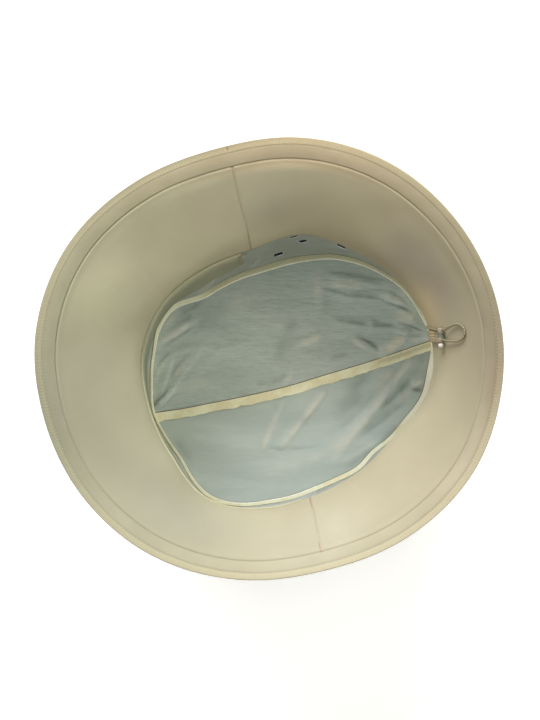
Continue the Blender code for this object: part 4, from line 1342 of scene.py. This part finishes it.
class HAT_OT_camera(Operator):
    """Sets the camera at the photograph's viewing angle."""

    bl_idname = "hat.camera"
    bl_label = "Camera"

    def execute(self, context):
        clear()
        bpy.ops.object.camera_add()
        camera = context.object
        camera.name = "camera"
        place = Matrix(CAMERA_AXES).transposed().to_4x4()
        place.translation = CAMERA_PLACE
        camera.matrix_world = place
        camera.data.lens = CAMERA_LENS
        camera.data.sensor_width = 36.0
        context.scene.camera = camera
        return {"FINISHED"}


class HAT_OT_drawcord(Operator):
    """Lays the drawcord's loop on the brim, with its lock and button on it."""

    bl_idname = "hat.drawcord"
    bl_label = "Drawcord and lock"

    def execute(self, context):
        t = trim()
        line = cord_line()
        cord = tube("drawcord_braid", line, t.cord, resolution=CORD_ROUNDING)
        run = runs(line).sum()
        self.unroll(cord, line, t.cord)
        done(cord, braid_finish("khaki_braid"), "cord", "drawcord")
        lock = self.lock(t)
        button = self.button(t)
        tuple(line[0])
        [tuple(point) for point in line]
        return {"FINISHED"}

    def unroll(self, cord, line, thick):
        """Lays the braid's UV map along the cord and round it, both in metres."""
        mesh = cord.data
        layer = mesh.uv_layers.active or mesh.uv_layers.new(name="UVMap")
        places, points = corners(mesh), np.array(line)
        marks = np.concatenate(([0.0], np.cumsum(runs(points))))
        nearest = np.linalg.norm(places[:, None] - points[None], axis=2).argmin(axis=1)
        around = 2 * (CORD_ROUNDING + 1) + 2
        ring = np.arange(len(places)) % around / around * math.pi * thick
        lay_uv(mesh, layer, np.column_stack((marks[nearest], ring)))

    def lock(self, t):
        """The barrel: turned, waisted, rounded and bored for the two strands."""
        clear()
        bpy.ops.mesh.primitive_cylinder_add(vertices=40, radius=t.lock_diameter / 2,
                                            depth=t.lock_length)
        barrel = named("lock_barrel")
        with editing():
            for height in LOCK_RINGS:
                bpy.ops.mesh.select_all(action="SELECT")
                bpy.ops.mesh.bisect(plane_co=(0, 0, height * t.lock_length), plane_no=(0, 0, 1))
        for corner in barrel.data.vertices:
            if abs(corner.co.z) < LOCK_WAIST_REACH * t.lock_length:
                corner.co.x *= LOCK_WAIST
                corner.co.y *= LOCK_WAIST
        rounding = barrel.modifiers.new("rounding", "BEVEL")
        rounding.width = LOCK_ROUNDING
        rounding.segments = 4
        rounding.limit_method = "ANGLE"
        rounding.angle_limit = math.radians(50)
        apply_modifiers(barrel)
        set_place(barrel, lock_frame() @ Matrix.Rotation(math.radians(90), 4, "Y"))
        for side in (-1, 1):
            clear()
            bpy.ops.mesh.primitive_cylinder_add(vertices=32, radius=t.cord / 2 + BORE_CLEARANCE,
                                                depth=2 * t.lock_diameter)
            bore = named("bore")
            set_place(bore, lock_frame() @ Matrix.Translation((side * STRAND_SPACING / 2, 0, 0))
                      @ Matrix.Rotation(math.radians(90), 4, "X"))
            cut(barrel, bore)
        smooth(barrel, 40)
        done(barrel, plastic_finish("cloudy_acetal", colours().lock, 0.3, 0.25), "cord_lock",
             "cord_lock")
        barrel.data.materials.append(plastic_finish("smoked_acetal", colours().lock_core, 0.35, 0.15))
        inward = lock_frame().inverted()
        for face in barrel.data.polygons:
            face.material_index = int(abs((inward @ face.center).x) < LOCK_CORE_REACH * t.lock_length)
        return barrel

    def button(self, t):
        """The pressed ball at the barrel's right end, on its short stem."""
        clear()
        ball = t.button / 2
        bpy.ops.mesh.primitive_uv_sphere_add(segments=32, ring_count=20, radius=ball)
        button = named("lock_button")
        low = -ball * math.cos(math.asin(BUTTON_STEM_DIAMETER / 2 / ball))
        with editing():
            bpy.ops.mesh.bisect(plane_co=(0, 0, low), plane_no=(0, 0, 1), clear_inner=True)
            bpy.ops.mesh.select_all(action="DESELECT")
        for corner in button.data.vertices:
            corner.select = abs(corner.co.z - low) < 1e-6
        with editing(whole=False):
            bpy.ops.mesh.select_mode(type="VERT")
            bpy.ops.mesh.extrude_region_move(TRANSFORM_OT_translate={"value": (0, 0, -BUTTON_STEM)})
            bpy.ops.mesh.fill_holes(sides=0)
            bpy.ops.mesh.select_all(action="SELECT")
            bpy.ops.mesh.fill_holes(sides=0)
            bpy.ops.mesh.normals_make_consistent(inside=False)
        set_place(button, lock_frame() @ Matrix.Translation((t.lock_length / 2 + GAP, 0, 0))
                  @ Matrix.Rotation(math.radians(90), 4, "Y")
                  @ Matrix.Translation((0, 0, BUTTON_STEM - low)))
        smooth(button, 40)
        return done(button, plastic_finish("white_acetal", colours().button, 0.25, 0.0), "cord_lock",
                    "cord_lock_button")


class HAT_OT_tip(Operator):
    """Makes the two half panels of the crown's tip, with their creases."""

    bl_idname = "hat.tip"
    bl_label = "Tip panels"

    def execute(self, context):
        for name, side in (("tip_panel_left", -1), ("tip_panel_right", 1)):
            self.panel(name, side)
        return {"FINISHED"}

    def panel(self, name, side):
        """Half of the tip, on a grid that bends between its seam, its rim and its two ends."""
        s = sizes()
        off = math.degrees(GAP / s.tip_length)
        streaks = LEFT_STREAKS if side < 0 else RIGHT_STREAKS

        def rim(turn):
            return tip_edge((0.0 if side > 0 else 180.0) + side * np.asarray(turn, float), GAP)

        front, back, front_corner, back_corner = (rim(turn) for turn in (-90 + off, 90 - off, -45, 45))
        share = np.linspace(0, 1, 221)[:, None]
        out = np.linspace(0, 1, 91)[None, :]
        along = share if side < 0 else 1.0 - share
        seam = front + (back - front) * along[..., None]
        seam[..., 0] += seam_bow(along)
        rows = seam + (rim(-45 + 90 * along) - seam) * out[..., None]
        start = rim(-90 + off + (45 - off) * out)
        end = rim(90 - off - (45 - off) * out)
        ends = start + (end - start) * along[..., None]
        low = front + (back - front) * along[..., None]
        high = front_corner + (back_corner - front_corner) * along[..., None]
        places = rows + ends - (low + (high - low) * out[..., None])
        x = (places[..., 0] - TIP_SIDE_SHIFT) / MM
        y = (places[..., 1] - TIP_BACK_SHIFT) / MM
        edge = np.linalg.norm(places[..., :2] - seam[..., :2], axis=-1) / MM
        places[..., 2] = self.lift(side, streaks, x, y, edge) * MM
        # Painted highlights and shade along the creases, which the fold attribute carries
        tone = (1.0 + waves("tip_mottle", x, y)) * creased(streaks, x, y, end_fade=0.3)
        piece = cloth(name + "_cloth", places, places[..., :2].copy(), wall=s.crown_cloth,
                      tone=np.clip(tone, -1.0, 1.0))
        done(piece, crown_finish(side), "crown_cloth", name)

    def lift(self, side, streaks, x, y, edge):
        """The creases, the fine crinkle along the camera's level, and the roll beside the seam."""
        height = (1.3 * creased(LEFT_CREASES if side < 0 else RIGHT_CREASES, x, y)
                  + 0.8 * creased(streaks, x, y))
        lean = math.radians(CRINKLE_LEAN)
        along = y * math.cos(lean) + x * math.sin(lean)
        across = x * math.cos(lean) - y * math.sin(lean)
        quiet = 1.0 if side < 0 else RIGHT_QUIET
        height = (height + quiet * (waves("tip_crinkle", across, along) + 0.10) * ramp(0.0, 6.0, edge)
                  + waves("tip", across, along) * ramp(0.0, 10.0, edge) + 0.25)
        if side < 0:
            height = height + 0.55 * bump(edge - 1.6, 1.1)
        rim = np.hypot(x / (sizes().tip_width / 2 / MM), y / (sizes().tip_length / 2 / MM))
        height = height * ramp(1.12, 0.9, rim)
        return np.maximum(height + 0.4 * ramp(0.0, 12.0, edge) * ramp(1.0, 0.8, rim), 0.0) + 0.02


class HAT_OT_walls(Operator):
    """Makes the crown's side wall in two halves, with its folds, vent slots, nets and slot threads."""

    bl_idname = "hat.walls"
    bl_label = "Side walls"

    def execute(self, context):
        for band, start in (("left", 90.0), ("right", -90.0)):
            self.wall(band, start)
            self.slots(band)
        return {"FINISHED"}

    def wall(self, band, start):
        """Half of the wall, rolled in at its foot and cut at its slots."""
        s = sizes()
        off = math.degrees(GAP / s.tip_length)
        turn = np.linspace(start + off, start + 180 - off, 301)[:, None]
        height = np.concatenate(([0.0, 0.003, 0.006, 0.010], np.linspace(0.018, 1.0, 66)))[None, :]
        roll = ramp(0.010, 0.0, height) * WALL_FOOT_ROLL
        places = wall_inner(turn, height) - heading(turn) * roll[..., None]
        arc = np.radians(turn) * (s.opening_width + s.opening_length) / 4
        degree, tall = degree_arc(), s.crown_height / MM
        # Painted highlights and shade along the wall's streaks; its outer face is painted darker as
        # shade
        tone = creased(WALL_STREAKS, np.mod(turn, 360) * degree, height * tall, (degree, tall))
        piece = cloth(f"side_wall_{band}", places, flat_grid(arc, height * s.crown_height),
                      wall=s.crown_cloth, tone=np.clip(tone, -1, 1), tint=np.zeros(places.shape),
                      outside=WALL_OUTSIDE_SHADE)
        for cutter in [self.cutter(place) for place in self.frames(band)]:
            cut(piece, cutter)
        smooth(piece)
        done(piece, wall_finish(), "crown_cloth", f"side_band_{band}")

    def frames(self, band):
        """Each slot's place on the wall: X round it, Y up it and Z through it."""
        for vent in (vent for vent in VENTS if vent.band == band):
            turn, height = vent.turn, vent.height
            middle, before, after, above = (
                Vector(wall_inner(t, h)) for t, h in
                ((turn, height), (turn - 1, height), (turn + 1, height), (turn, height + 0.02)))
            place = frame_at(after - before, above - middle, middle)
            place.translation += place.to_3x3().col[2] * sizes().crown_cloth / 2
            yield place @ Matrix.Rotation(math.radians(vent.tilt), 4, "Z")

    def cutter(self, place):
        """A slot's shape, a block with round corners that goes right through the wall."""
        t = trim()
        clear()
        bpy.ops.mesh.primitive_cube_add(size=1.0)
        cutter = named("slot_cutter")
        bpy.ops.transform.resize(value=(t.slot_length, t.slot_height, 8 * sizes().crown_cloth))
        bpy.ops.object.transform_apply(location=True, rotation=True, scale=True)
        for edge in cutter.data.edges:
            a, b = (cutter.data.vertices[corner].co for corner in edge.vertices)
            edge.select = abs(a.z - b.z) > sizes().crown_cloth
        with editing(whole=False):
            bpy.ops.mesh.select_mode(type="EDGE")
            bpy.ops.mesh.bevel(offset=SLOT_CORNER * t.slot_length, segments=5, affect="EDGES")
        set_place(cutter, place)
        return cutter

    def slots(self, band):
        """The dark nets behind the slots, painted shade that keeps them dark, and the pale thread round
        their edges.
        """
        nets, rings = [], []
        for number, place in enumerate(self.frames(band)):
            nets.append(self.net(f"net_{band}_{number}", place))
            rings.append(self.ring(f"ring_{band}_{number}", place))
        if band == "left":
            rings.extend(self.closed_slot())
        thread = thread_finish("pale_thread", colours().binding)
        for name, made, finish in (("vent_nets", nets, slot_shade_net_finish()), ("slot_threads", rings, thread)):
            pick(*made)
            bpy.ops.object.join()
            done(named(f"{name}_{band}"), finish, "crown_cloth")

    def net(self, name, place):
        """A knotted net that fills a slot, with round corners: a dark sheet of painted shade."""
        t = trim()
        x = np.linspace(-0.5, 0.5, 25)[:, None] * (t.slot_length - 2 * GAP)
        y = np.linspace(-0.5, 0.5, 25)[None, :] * (t.slot_height - 2 * GAP)
        knots = NET_KNOT * np.cos(x * 2 * np.pi / NET_MESH) * np.cos(y * 2 * np.pi / NET_MESH)
        square = np.maximum(np.abs(x) / (t.slot_length / 2), np.abs(y) / (t.slot_height / 2))
        round_off = (np.hypot(x / t.slot_length, y / t.slot_height) * 1.414) ** 6 * square
        bent = 1.0 - NET_ROUNDING * round_off
        local = np.stack((x * bent, y * bent, knots + 0 * x * y), axis=-1)
        places = local @ np.array(place.to_3x3()).T + np.array(place.translation)
        places = places - np.array(place.col[2][:3]) * (sizes().crown_cloth / 2 - NET_CLOTH)
        return cloth(name, places, flat_grid(x, y), wall=NET_CLOTH)

    def ring(self, name, place):
        """The thread round a slot's edge, on the wall's inner face."""
        t = trim()
        corner = SLOT_CORNER * t.slot_length
        reach_x, reach_y = t.slot_length / 2 - corner, t.slot_height / 2 - corner
        ring = []
        for angle in np.linspace(0, 2 * np.pi, 49)[:-1]:
            x, y = math.cos(angle), math.sin(angle)
            ring.append(place @ Vector((max(-reach_x, min(reach_x, x * t.slot_length)) + corner * x,
                                        max(-reach_y, min(reach_y, y * t.slot_height)) + corner * y,
                                        -sizes().crown_cloth / 2)))
        return tube(name, ring, t.slot_binding, closed=True)

    def closed_slot(self):
        """The two rows of thread that show where the cloth has folded over a slot."""
        t = trim()
        turn, height = CLOSED_SLOT
        share = np.linspace(-0.5, 0.5, 15)
        arc = math.degrees(t.slot_length / (sizes().opening_width / 2))
        for number, (aside, above) in enumerate(CLOSED_SLOT_ROWS):
            line = wall_inner(turn + aside + arc * share, height + above - 0.10 * share)
            yield tube(f"closed_slot_{number}", line - heading(turn) * 0.0003, 1.4 * t.slot_binding)


class HAT_OT_sweatband(Operator):
    """Makes the olive band inside the front half of the opening."""

    bl_idname = "hat.sweatband"
    bl_label = "Sweatband"

    def execute(self, context):
        s = sizes()
        share = s.band_depth / (s.crown_height - GAP - s.crown_cloth)
        turn = np.linspace(BAND_LEFT_END, BAND_RIGHT_END, 281)[:, None]
        up = np.concatenate((np.linspace(0, 0.93, 26), (0.955, 0.975, 0.99, 1.0, 1.01)))[None, :]
        tall = s.band_depth / MM
        arc = np.radians(turn) * s.opening_width / 2 / MM
        wrinkles = BAND_WRINKLE * (1 + waves("band", arc, up * tall)) * ramp(1.0, 0.6, up)
        lean = (BAND_SPACE + (wrinkles + self.droop(turn, up)) * MM
                - ramp(0.955, 1.01, up) * BAND_TOP_ROLL + BAND_HEM * bump(up * tall - 0.8, 0.8))
        places = wall_place(turn, 1.0 - share * (1.0 - up)) - heading(turn) * lean[..., None]
        flat = flat_grid(arc * MM, up * s.band_depth)
        band = cloth("sweatband_satin", places, flat, wall=s.band_cloth, side=-1)
        done(band, satin_finish(), "sweatband", "front_sweatband")
        self.binding(share)
        return {"FINISHED"}

    def droop(self, turn, up):
        """How far the band hangs in from the wall, most at its lower edge."""
        return eased(BAND_DROOP, turn) * (1.0 - np.clip(up, 0.0, 1.0)) ** 1.2

    def binding(self, share):
        """The folded end of the band at its left, which flares towards the opening."""
        s = sizes()
        up = np.linspace(0, 1, 33)[None, :]
        across = np.linspace(-0.5, 0.5, 11)[:, None]
        wide = 1.0 + 2.4 * up ** 2
        turn = (BAND_LEFT_END + 0.4 + np.degrees(across * wide * MM / (s.opening_width / 2))
                + 1.6 * (1 - up))
        height = 1.0 - share * (1.0 - up) + 0 * across
        proud = 0.12 + 0.10 * np.cos(np.pi * across)
        off = BAND_SPACE + s.band_cloth + (proud + self.droop(turn, up)) * MM
        places = wall_place(turn, height) - heading(turn) * off[..., None]
        flat = flat_grid(across * wide * MM, up * s.band_depth)
        done(cloth("sweatband_end", places, flat, wall=0.0003, side=-1), brim_finish(), "sweatband")


class HAT_OT_tapes(Operator):
    """Makes the bound seam allowances on the tip's two seams."""

    bl_idname = "hat.tapes"
    bl_label = "Seam tapes"

    def execute(self, context):
        self.ring()
        self.strip()
        return {"FINISHED"}

    def ring(self):
        """The bound allowance: a rolled edge on the tip, and a face that leans on the wall's foot."""
        s = sizes()
        turn = np.linspace(0, 360, 1201)[:, None]
        wide = eased(TAPE_WIDE, turn)
        arc = np.radians(turn) * (s.tip_length + s.tip_width) / 4 / MM
        rise = np.sqrt(np.maximum((s.tip_tape / MM) ** 2 - wide ** 2, 2.2))
        rise = rise * (1.0 + waves("tip_tape", arc, 0.5) * np.sin(np.radians(turn) / 2) ** 0.5)
        slope = np.arctan2(rise, wide)
        half = TAPE_HALF + 0.40 * bump(TAPE_ROWS - 0.13, 0.10)
        half[0] = half[-1] = 0.10
        up = np.concatenate((TAPE_ROWS, TAPE_ROWS[::-1], TAPE_ROWS[:1]))
        side = np.concatenate((half, -half[::-1], half[:1]))
        threads = 0.05 * np.sin(2 * np.pi * (arc / 1.3 + up * 0.4))
        off = side + np.where(side > 0, threads, 0.0)
        inset = (0.1 + wide * (1.0 - up) + off * np.sin(slope)) * MM
        places = np.stack([tip_edge(turn[:, 0], column) for column in inset.T], axis=1)
        places[..., 2] = s.crown_cloth + (0.85 + rise * up + off * np.cos(slope)) * MM
        flat = flat_grid(arc * MM, (1.0 - up) * s.tip_tape)
        # Painted light and shade: pale over the whole tape at turns 50 to 100 and on its rolled edge
        # from turn 85 on, painted khaki shade on its face from 94 to 218, and a little darker round
        # turn -15
        tone = (0.8 * plateau(turn, *TAPE_HIGHLIGHT_TURNS) + ramp(85, 100, turn) * ramp(0.26, 0.19, up)
                - plateau(turn, *TAPE_SHADE_TURNS) * ramp(0.14, 0.24, up) * (0.62 + 0.38 * up)
                - 0.25 * bump(turned(turn + 15), 24.0))
        tape = cloth("tip_seam_overlock", places, flat, ring=True, tube=True, tone=tone)
        done(tape, tape_finish(), "seam_tape", "tip_seam_tape")
        turn = np.linspace(-80, 86, 240)
        self.thread("tip_seam_thread", tip_edge(turn, (eased(TAPE_WIDE, turn) + 0.4) * MM))

    def thread(self, name, line):
        """A dull dark thread that shows where a seam is sewn, half sunk into the tip's cloth; partly
        painted shade in the seam's groove.
        """
        line[:, 2] = sizes().crown_cloth + 0.5 * MM
        seam = tube(name, line, 0.0006)
        done(seam, thread_finish("olive_thread", colours().seam_shade), "crown_cloth")

    def strip(self):
        """The centre seam's bound allowance, which lies to its right between the ring's edges."""
        s = sizes()
        front, back = (tip_edge(turn, (float(eased(TAPE_WIDE, turn)) + 0.5) * MM)
                       for turn in (270.0, 90.0))
        along = np.linspace(0, 1, 521)[:, None]
        across = np.linspace(0, 1, 11)[None, :]
        places = (front + (back - front) * along[..., None]) + np.zeros((1, across.size, 1))
        share = (places[..., 1] - TIP_BACK_SHIFT) / s.tip_length + 0.5
        arc = along * (back - front)[1] / MM
        places[..., 0] += seam_bow(share) + GAP
        places[..., 0] += s.centre_tape * across * (1.0 + waves("centre_tape", arc, 0.5))
        threads = 0.10 * np.sin(2 * np.pi * (arc / 1.5 + across * 0.5)) * ramp(0.15, 0.4, across)
        buckle = 0.55 * (1 + waves("centre_buckle", arc, across)) * ramp(0.1, 1.0, across)
        places[..., 2] = s.crown_cloth + GAP + (0.35 + threads + buckle) * MM
        flat = flat_grid(arc * MM, across * s.centre_tape)
        # Painted shadow of a fold: a darker khaki stripe along the tape near its back end
        tone = -0.6 * ramp(0.76, 0.86, along) * bump(across - 0.40, 0.25)
        tape = cloth("centre_seam_overlock", places, flat, wall=s.tape_cloth, side=-1, tone=tone)
        done(tape, tape_finish(), "seam_tape", "centre_seam_tape")
        # Painted shade: a dark thread in the groove between the left panel and the tape
        self.thread("centre_seam_thread", places[:, 0] - (GAP, 0.0, 0.0))


class HAT_OT_brim(Operator):
    """Makes the two halves of the brim, with the soft ridge inside their hem and their side seams."""

    bl_idname = "hat.brim"
    bl_label = "Brim"

    def execute(self, context):
        s = sizes()
        ends = np.array(BRIM_END_COLUMNS) * MM / BRIM_HALF
        first = 4.2 * MM / BRIM_HALF
        share = np.concatenate((ends, np.linspace(first, 1 - first, 240), 1 - ends[::-1]))
        share = share * (1 + 2 * SEAM_MEET) - SEAM_MEET
        neck, shore = np.array(BRIM_NECK_ROWS) * MM, np.array(BRIM_SHORE_ROWS) * MM
        middle = np.linspace(0, 1, 34)[1:-1]
        for part in ("front", "back"):
            groove = (path_length(brim_path(*brim_turns(part, share))) - s.hem_width)[:, None]
            distance = np.concatenate((
                np.broadcast_to(neck, (len(share), len(neck))),
                neck[-1] + (groove - shore[0] - neck[-1]) * middle, groove - shore), axis=1)
            places, inward = brim_cloth(part, share, distance)
            lift = self.relief(part, share[:, None], distance, groove)
            places = places + inward * (lift * MM)[..., None]
            radius, angle = 0.09 + distance, np.pi * share[:, None]
            flat = np.stack((radius * np.cos(angle), radius * np.sin(angle)), axis=-1)
            piece = cloth(f"brim_{part}_cloth", places, flat, wall=s.brim_cloth,
                          tint=painted_brim_shading(part, share, distance))
            done(piece, brim_finish(), "brim_cloth", f"brim_{part}")
        self.seams()
        return {"FINISHED"}

    def relief(self, part, share, distance, groove):
        """Soft waves, the ridge and dip at the hem's groove, and the valley of the side seams."""
        out = distance / MM
        inside = (groove - distance) / MM
        arc = share * 360.0 + (0.0 if part == "back" else 400.0)
        lift = waves("brim", arc, out) * ramp(4.0, 16.0, out) * ramp(1.5, 9.0, inside)
        ridge = bump(inside - 1.3, np.where(inside < 1.3, 0.6, 2.0))
        lift = lift + 0.30 * ridge - 0.35 * bump(inside, 0.4) + 0.35 * bump(out - 3.4, 1.6)
        seam = np.minimum(share, 1 - share) * 360.0
        return lift - 0.45 * bump(seam, 0.7) + 0.12 * bump(seam - 2.2, 1.0)

    def seams(self):
        """The tan thread that shows in the valley of each side seam."""
        for name, turn_in, turn_out in (("right", SEAM_RIGHT_IN, SEAM_RIGHT_OUT),
                                        ("left", SEAM_LEFT_IN, SEAM_LEFT_OUT)):
            path = brim_path(np.array((turn_in,)), np.array((turn_out,)))
            long = float(path_length(path)[0])
            distance = np.linspace(0.0006, long - 0.0004, 110)
            line = walk(path, distance[None, :])[0]
            line[:, 2] -= np.where(distance < long - sizes().hem_width, 0.00038, 0.00012)
            thread = tube(f"brim_seam_thread_{name}", line, 0.00050)
            done(thread, thread_finish("tan_thread", colours().seam_thread), "brim_cloth")


class HAT_OT_hem(Operator):
    """Makes the folded, stitched hem round the brim's edge."""

    bl_idname = "hat.hem"
    bl_label = "Hem"

    def execute(self, context):
        for part in ("front", "back"):
            self.half(part)
            self.rows(part)
        return {"FINISHED"}

    def profile(self):
        """The hem's closed section: distances from the groove and lifts, in millimetres."""
        s = sizes()
        wide = (s.hem_width - GAP) / MM
        proud = (s.hem_cloth - s.brim_cloth) / 2 / MM
        thick = s.hem_cloth / MM
        row = wide - trim().hem_row / MM
        corner, nose = 0.5, 0.45

        def puff(d):
            swell = (0.22 * np.sin(np.pi * np.clip(d / row, 0, 1))
                     + 0.14 * np.sin(np.pi * np.clip((d - row) / (wide - row), 0, 1)))
            round_off = corner * (1 - np.sqrt(1 - np.clip(1 - d / corner, 0, 1) ** 2))
            return swell - 0.18 * bump(d - row, 0.45) - round_off

        inner = np.concatenate(((0.0, 0.06, 0.2, 0.35, 0.5, 1.0), np.linspace(2.0, row - 1.2, 6),
                                row + np.array((-0.7, -0.4, -0.2, 0.0, 0.2, 0.4, 0.7)),
                                np.linspace(row + 1.1, wide - nose, 6)))
        top = np.column_stack((inner, proud + puff(inner)))
        edge = 2 * nose + (thick - 2 * nose) * ramp(0.0, 6.0, wide - nose - inner)
        bottom = np.column_stack((inner, proud - edge - puff(inner)))[::-1]
        angle = np.radians(np.linspace(72, -72, 9))
        cap = np.column_stack((wide - nose + nose * np.cos(angle), proud - nose + nose * np.sin(angle)))
        return np.concatenate((top, cap, bottom, top[:1]))

    def half(self, part):
        """Half of the hem: its section laid along the brim's edge, ribbed outside its outer row."""
        share = np.linspace(-SEAM_MEET, 1 + SEAM_MEET, 901)
        turn_in, turn_out = brim_turns(part, share)
        start = path_length(brim_path(turn_in, turn_out)) - sizes().hem_width + GAP
        out, height = (column[None, :] for column in self.profile().T)
        distance = start[:, None] + out * MM
        places, inward = brim_cloth(part, share, distance)
        arc = (share * 450.0)[:, None]
        row = (sizes().hem_width - GAP - trim().hem_row) / MM
        count, last = np.arange(out.size)[None, :], out.size - 1
        sign = np.where((count > last // 2) & (count < last), -1.0, 1.0)
        ribs = 0.09 * np.sin(2 * np.pi * arc / (trim().rib / MM)) * ramp(row + 0.3, row + 1.0, out)
        fall = HEM_FALL * np.maximum(0.0, np.cos(np.radians(turn_out - HEM_FALL_TURN)))[:, None]
        lift = (height + (ribs + waves("hem", arc, out)) * sign
                - fall * np.clip(out - row, 0.0, None))
        places = places + inward * (lift * MM)[..., None]
        piece = cloth(f"hem_{part}_cloth", places, flat_grid(arc * MM, out * MM), tube=True,
                      tint=painted_brim_shading(part, share, distance))
        done(piece, hem_finish(), "brim_cloth", f"hem_{part}")

    def rows(self, part):
        """The outer row of stitches, on both faces of the hem, and the row in its groove."""
        share = np.linspace(0.001, 0.999, 500)
        long = path_length(brim_path(*brim_turns(part, share)))[:, None]
        finish = thread_finish("khaki_thread", colours().thread)
        outer, groove = long - trim().hem_row, long - sizes().hem_width + GAP / 2
        for name, distance, lift in (("hem_stitches", outer, 0.10),
                                     ("hem_stitches_under", outer, -1.95),
                                     ("groove_stitches", groove, -0.85)):
            places, inward = brim_cloth(part, share, distance)
            stitches(f"{name}_{part}", (places + inward * lift * MM)[:, 0], finish)


class HAT_OT_tab(Operator):
    """Makes the stitched tab that the cord's lower strand comes out of."""

    bl_idname = "hat.tab"
    bl_label = "Cord tab"

    def execute(self, context):
        s, t = sizes(), trim()
        across, out = np.linspace(0, 1, 31), np.linspace(0, 1, 51)
        a, b = (grid.ravel() for grid in np.meshgrid(across, out, indexing="ij"))
        edge = np.minimum(np.minimum(a, 1 - a) * t.tab_width, np.minimum(b, 1 - b) * t.tab_length) / MM
        rows = sum(bump((b - row) * t.tab_length / MM, 0.45) for row in TAB_ROWS)
        lift = -0.35 * (1 - np.sqrt(1 - np.clip(1 - edge / 0.8, 0, 1) ** 2)) - 0.2 * rows

        def tab(across, out):
            return cord_cloth(t.tab_width * (across - 0.5), TAB_START + t.tab_length * out)

        low, high = (raised(tab, over)(a, b).reshape(len(across), len(out), 3)
                     for over in (GAP, GAP + s.tab_cloth + lift * MM))
        places = np.concatenate((high, low[:, ::-1], high[:, :1]), axis=1)
        flat = flat_grid(across[:, None] * t.tab_width,
                         np.concatenate((out, out[::-1], out[:1]))[None, :] * t.tab_length)
        piece = cloth("cord_tab_cloth", places, flat, tube=True)
        done(piece, tab_finish(), "brim_cloth", "cord_tab")
        finish = thread_finish("pale_tan_thread", colours().tab_thread)
        for number, row in enumerate(TAB_ROWS):
            line = raised(tab, GAP + s.tab_cloth - 0.00005)(np.linspace(0.1, 0.9, 12), np.full(12, row))
            stitches(f"tab_stitches_{number}", line, finish)
        return {"FINISHED"}


class HAT_OT_stage(Operator):
    """Sets the plain pale floor and the soft studio light."""

    bl_idname = "hat.stage"
    bl_label = "Floor and light"

    def execute(self, context):
        clear()
        bpy.ops.mesh.primitive_plane_add(size=8.0, location=(0, 0, -0.0001))
        floor = named("floor")
        made, _, shader = start_material("matt_white_backdrop", 0.9)
        shader.inputs["Base Color"].default_value = (*colours().floor, 1.0)
        shader.inputs["Emission Color"].default_value = (*colours().floor, 1.0)
        shader.inputs["Emission Strength"].default_value = FLOOR_GLOW
        floor.data.materials.append(made)
        floor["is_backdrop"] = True
        for row in LAMPS:
            clear()
            bpy.ops.object.light_add(type="SUN")
            lamp = context.object
            lamp.name = row.name
            lamp.rotation_euler = (math.radians(90.0 - row.height), 0.0, math.radians(row.turn + 90.0))
            lamp.data.energy = row.strength
            lamp.data.angle = math.radians(row.size)
            lamp.data.color = linear(row.tone)
        world = bpy.data.worlds.new("studio")
        world.use_nodes = True
        back = world.node_tree.nodes["Background"]
        back.inputs["Color"].default_value = (*linear("#f6f8f4"), 1.0)
        back.inputs["Strength"].default_value = 0.05
        context.scene.world = world
        context.scene.view_settings.view_transform = "Standard"
        context.scene.view_settings.look = "None"
        return {"FINISHED"}


STEPS = (HAT_OT_camera, HAT_OT_drawcord, HAT_OT_tip, HAT_OT_walls, HAT_OT_sweatband, HAT_OT_tapes,
         HAT_OT_brim, HAT_OT_hem, HAT_OT_tab, HAT_OT_stage)
GROUPS = (("hat_sizes", HatSizes), ("hat_trim", HatTrim), ("hat_colours", HatColours))


class HAT_PT_pieces(Panel):
    """Lists the hat's sizes, colours and steps in the 3D view's sidebar."""

    bl_idname = "HAT_PT_pieces"
    bl_label = "Floppy sun hat"
    bl_space_type = "VIEW_3D"
    bl_region_type = "UI"
    bl_category = "Hat"

    def draw(self, context):
        for name, group in GROUPS:
            box = self.layout.box()
            for field in group.__annotations__:
                box.prop(getattr(context.scene, name), field)
        for step in STEPS:
            self.layout.operator(step.bl_idname)


def register():
    for kind in (*(group for name, group in GROUPS), *STEPS, HAT_PT_pieces):
        bpy.utils.register_class(kind)
    for name, group in GROUPS:
        setattr(bpy.types.Scene, name, PointerProperty(type=group))


def unregister():
    for name, group in GROUPS:
        delattr(bpy.types.Scene, name)
    for kind in reversed((*(group for name, group in GROUPS), *STEPS, HAT_PT_pieces)):
        bpy.utils.unregister_class(kind)


def main():
    register()
    bpy.ops.hat.camera()
    bpy.ops.hat.drawcord()
    bpy.ops.hat.tip()
    bpy.ops.hat.walls()
    bpy.ops.hat.sweatband()
    bpy.ops.hat.tapes()
    bpy.ops.hat.brim()
    bpy.ops.hat.hem()
    bpy.ops.hat.tab()
    bpy.ops.hat.stage()
    boxes = [[list(map(float, corner)) for corner in box] for box in (CAD_BOX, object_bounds())]


if __name__ == "__main__":
    main()
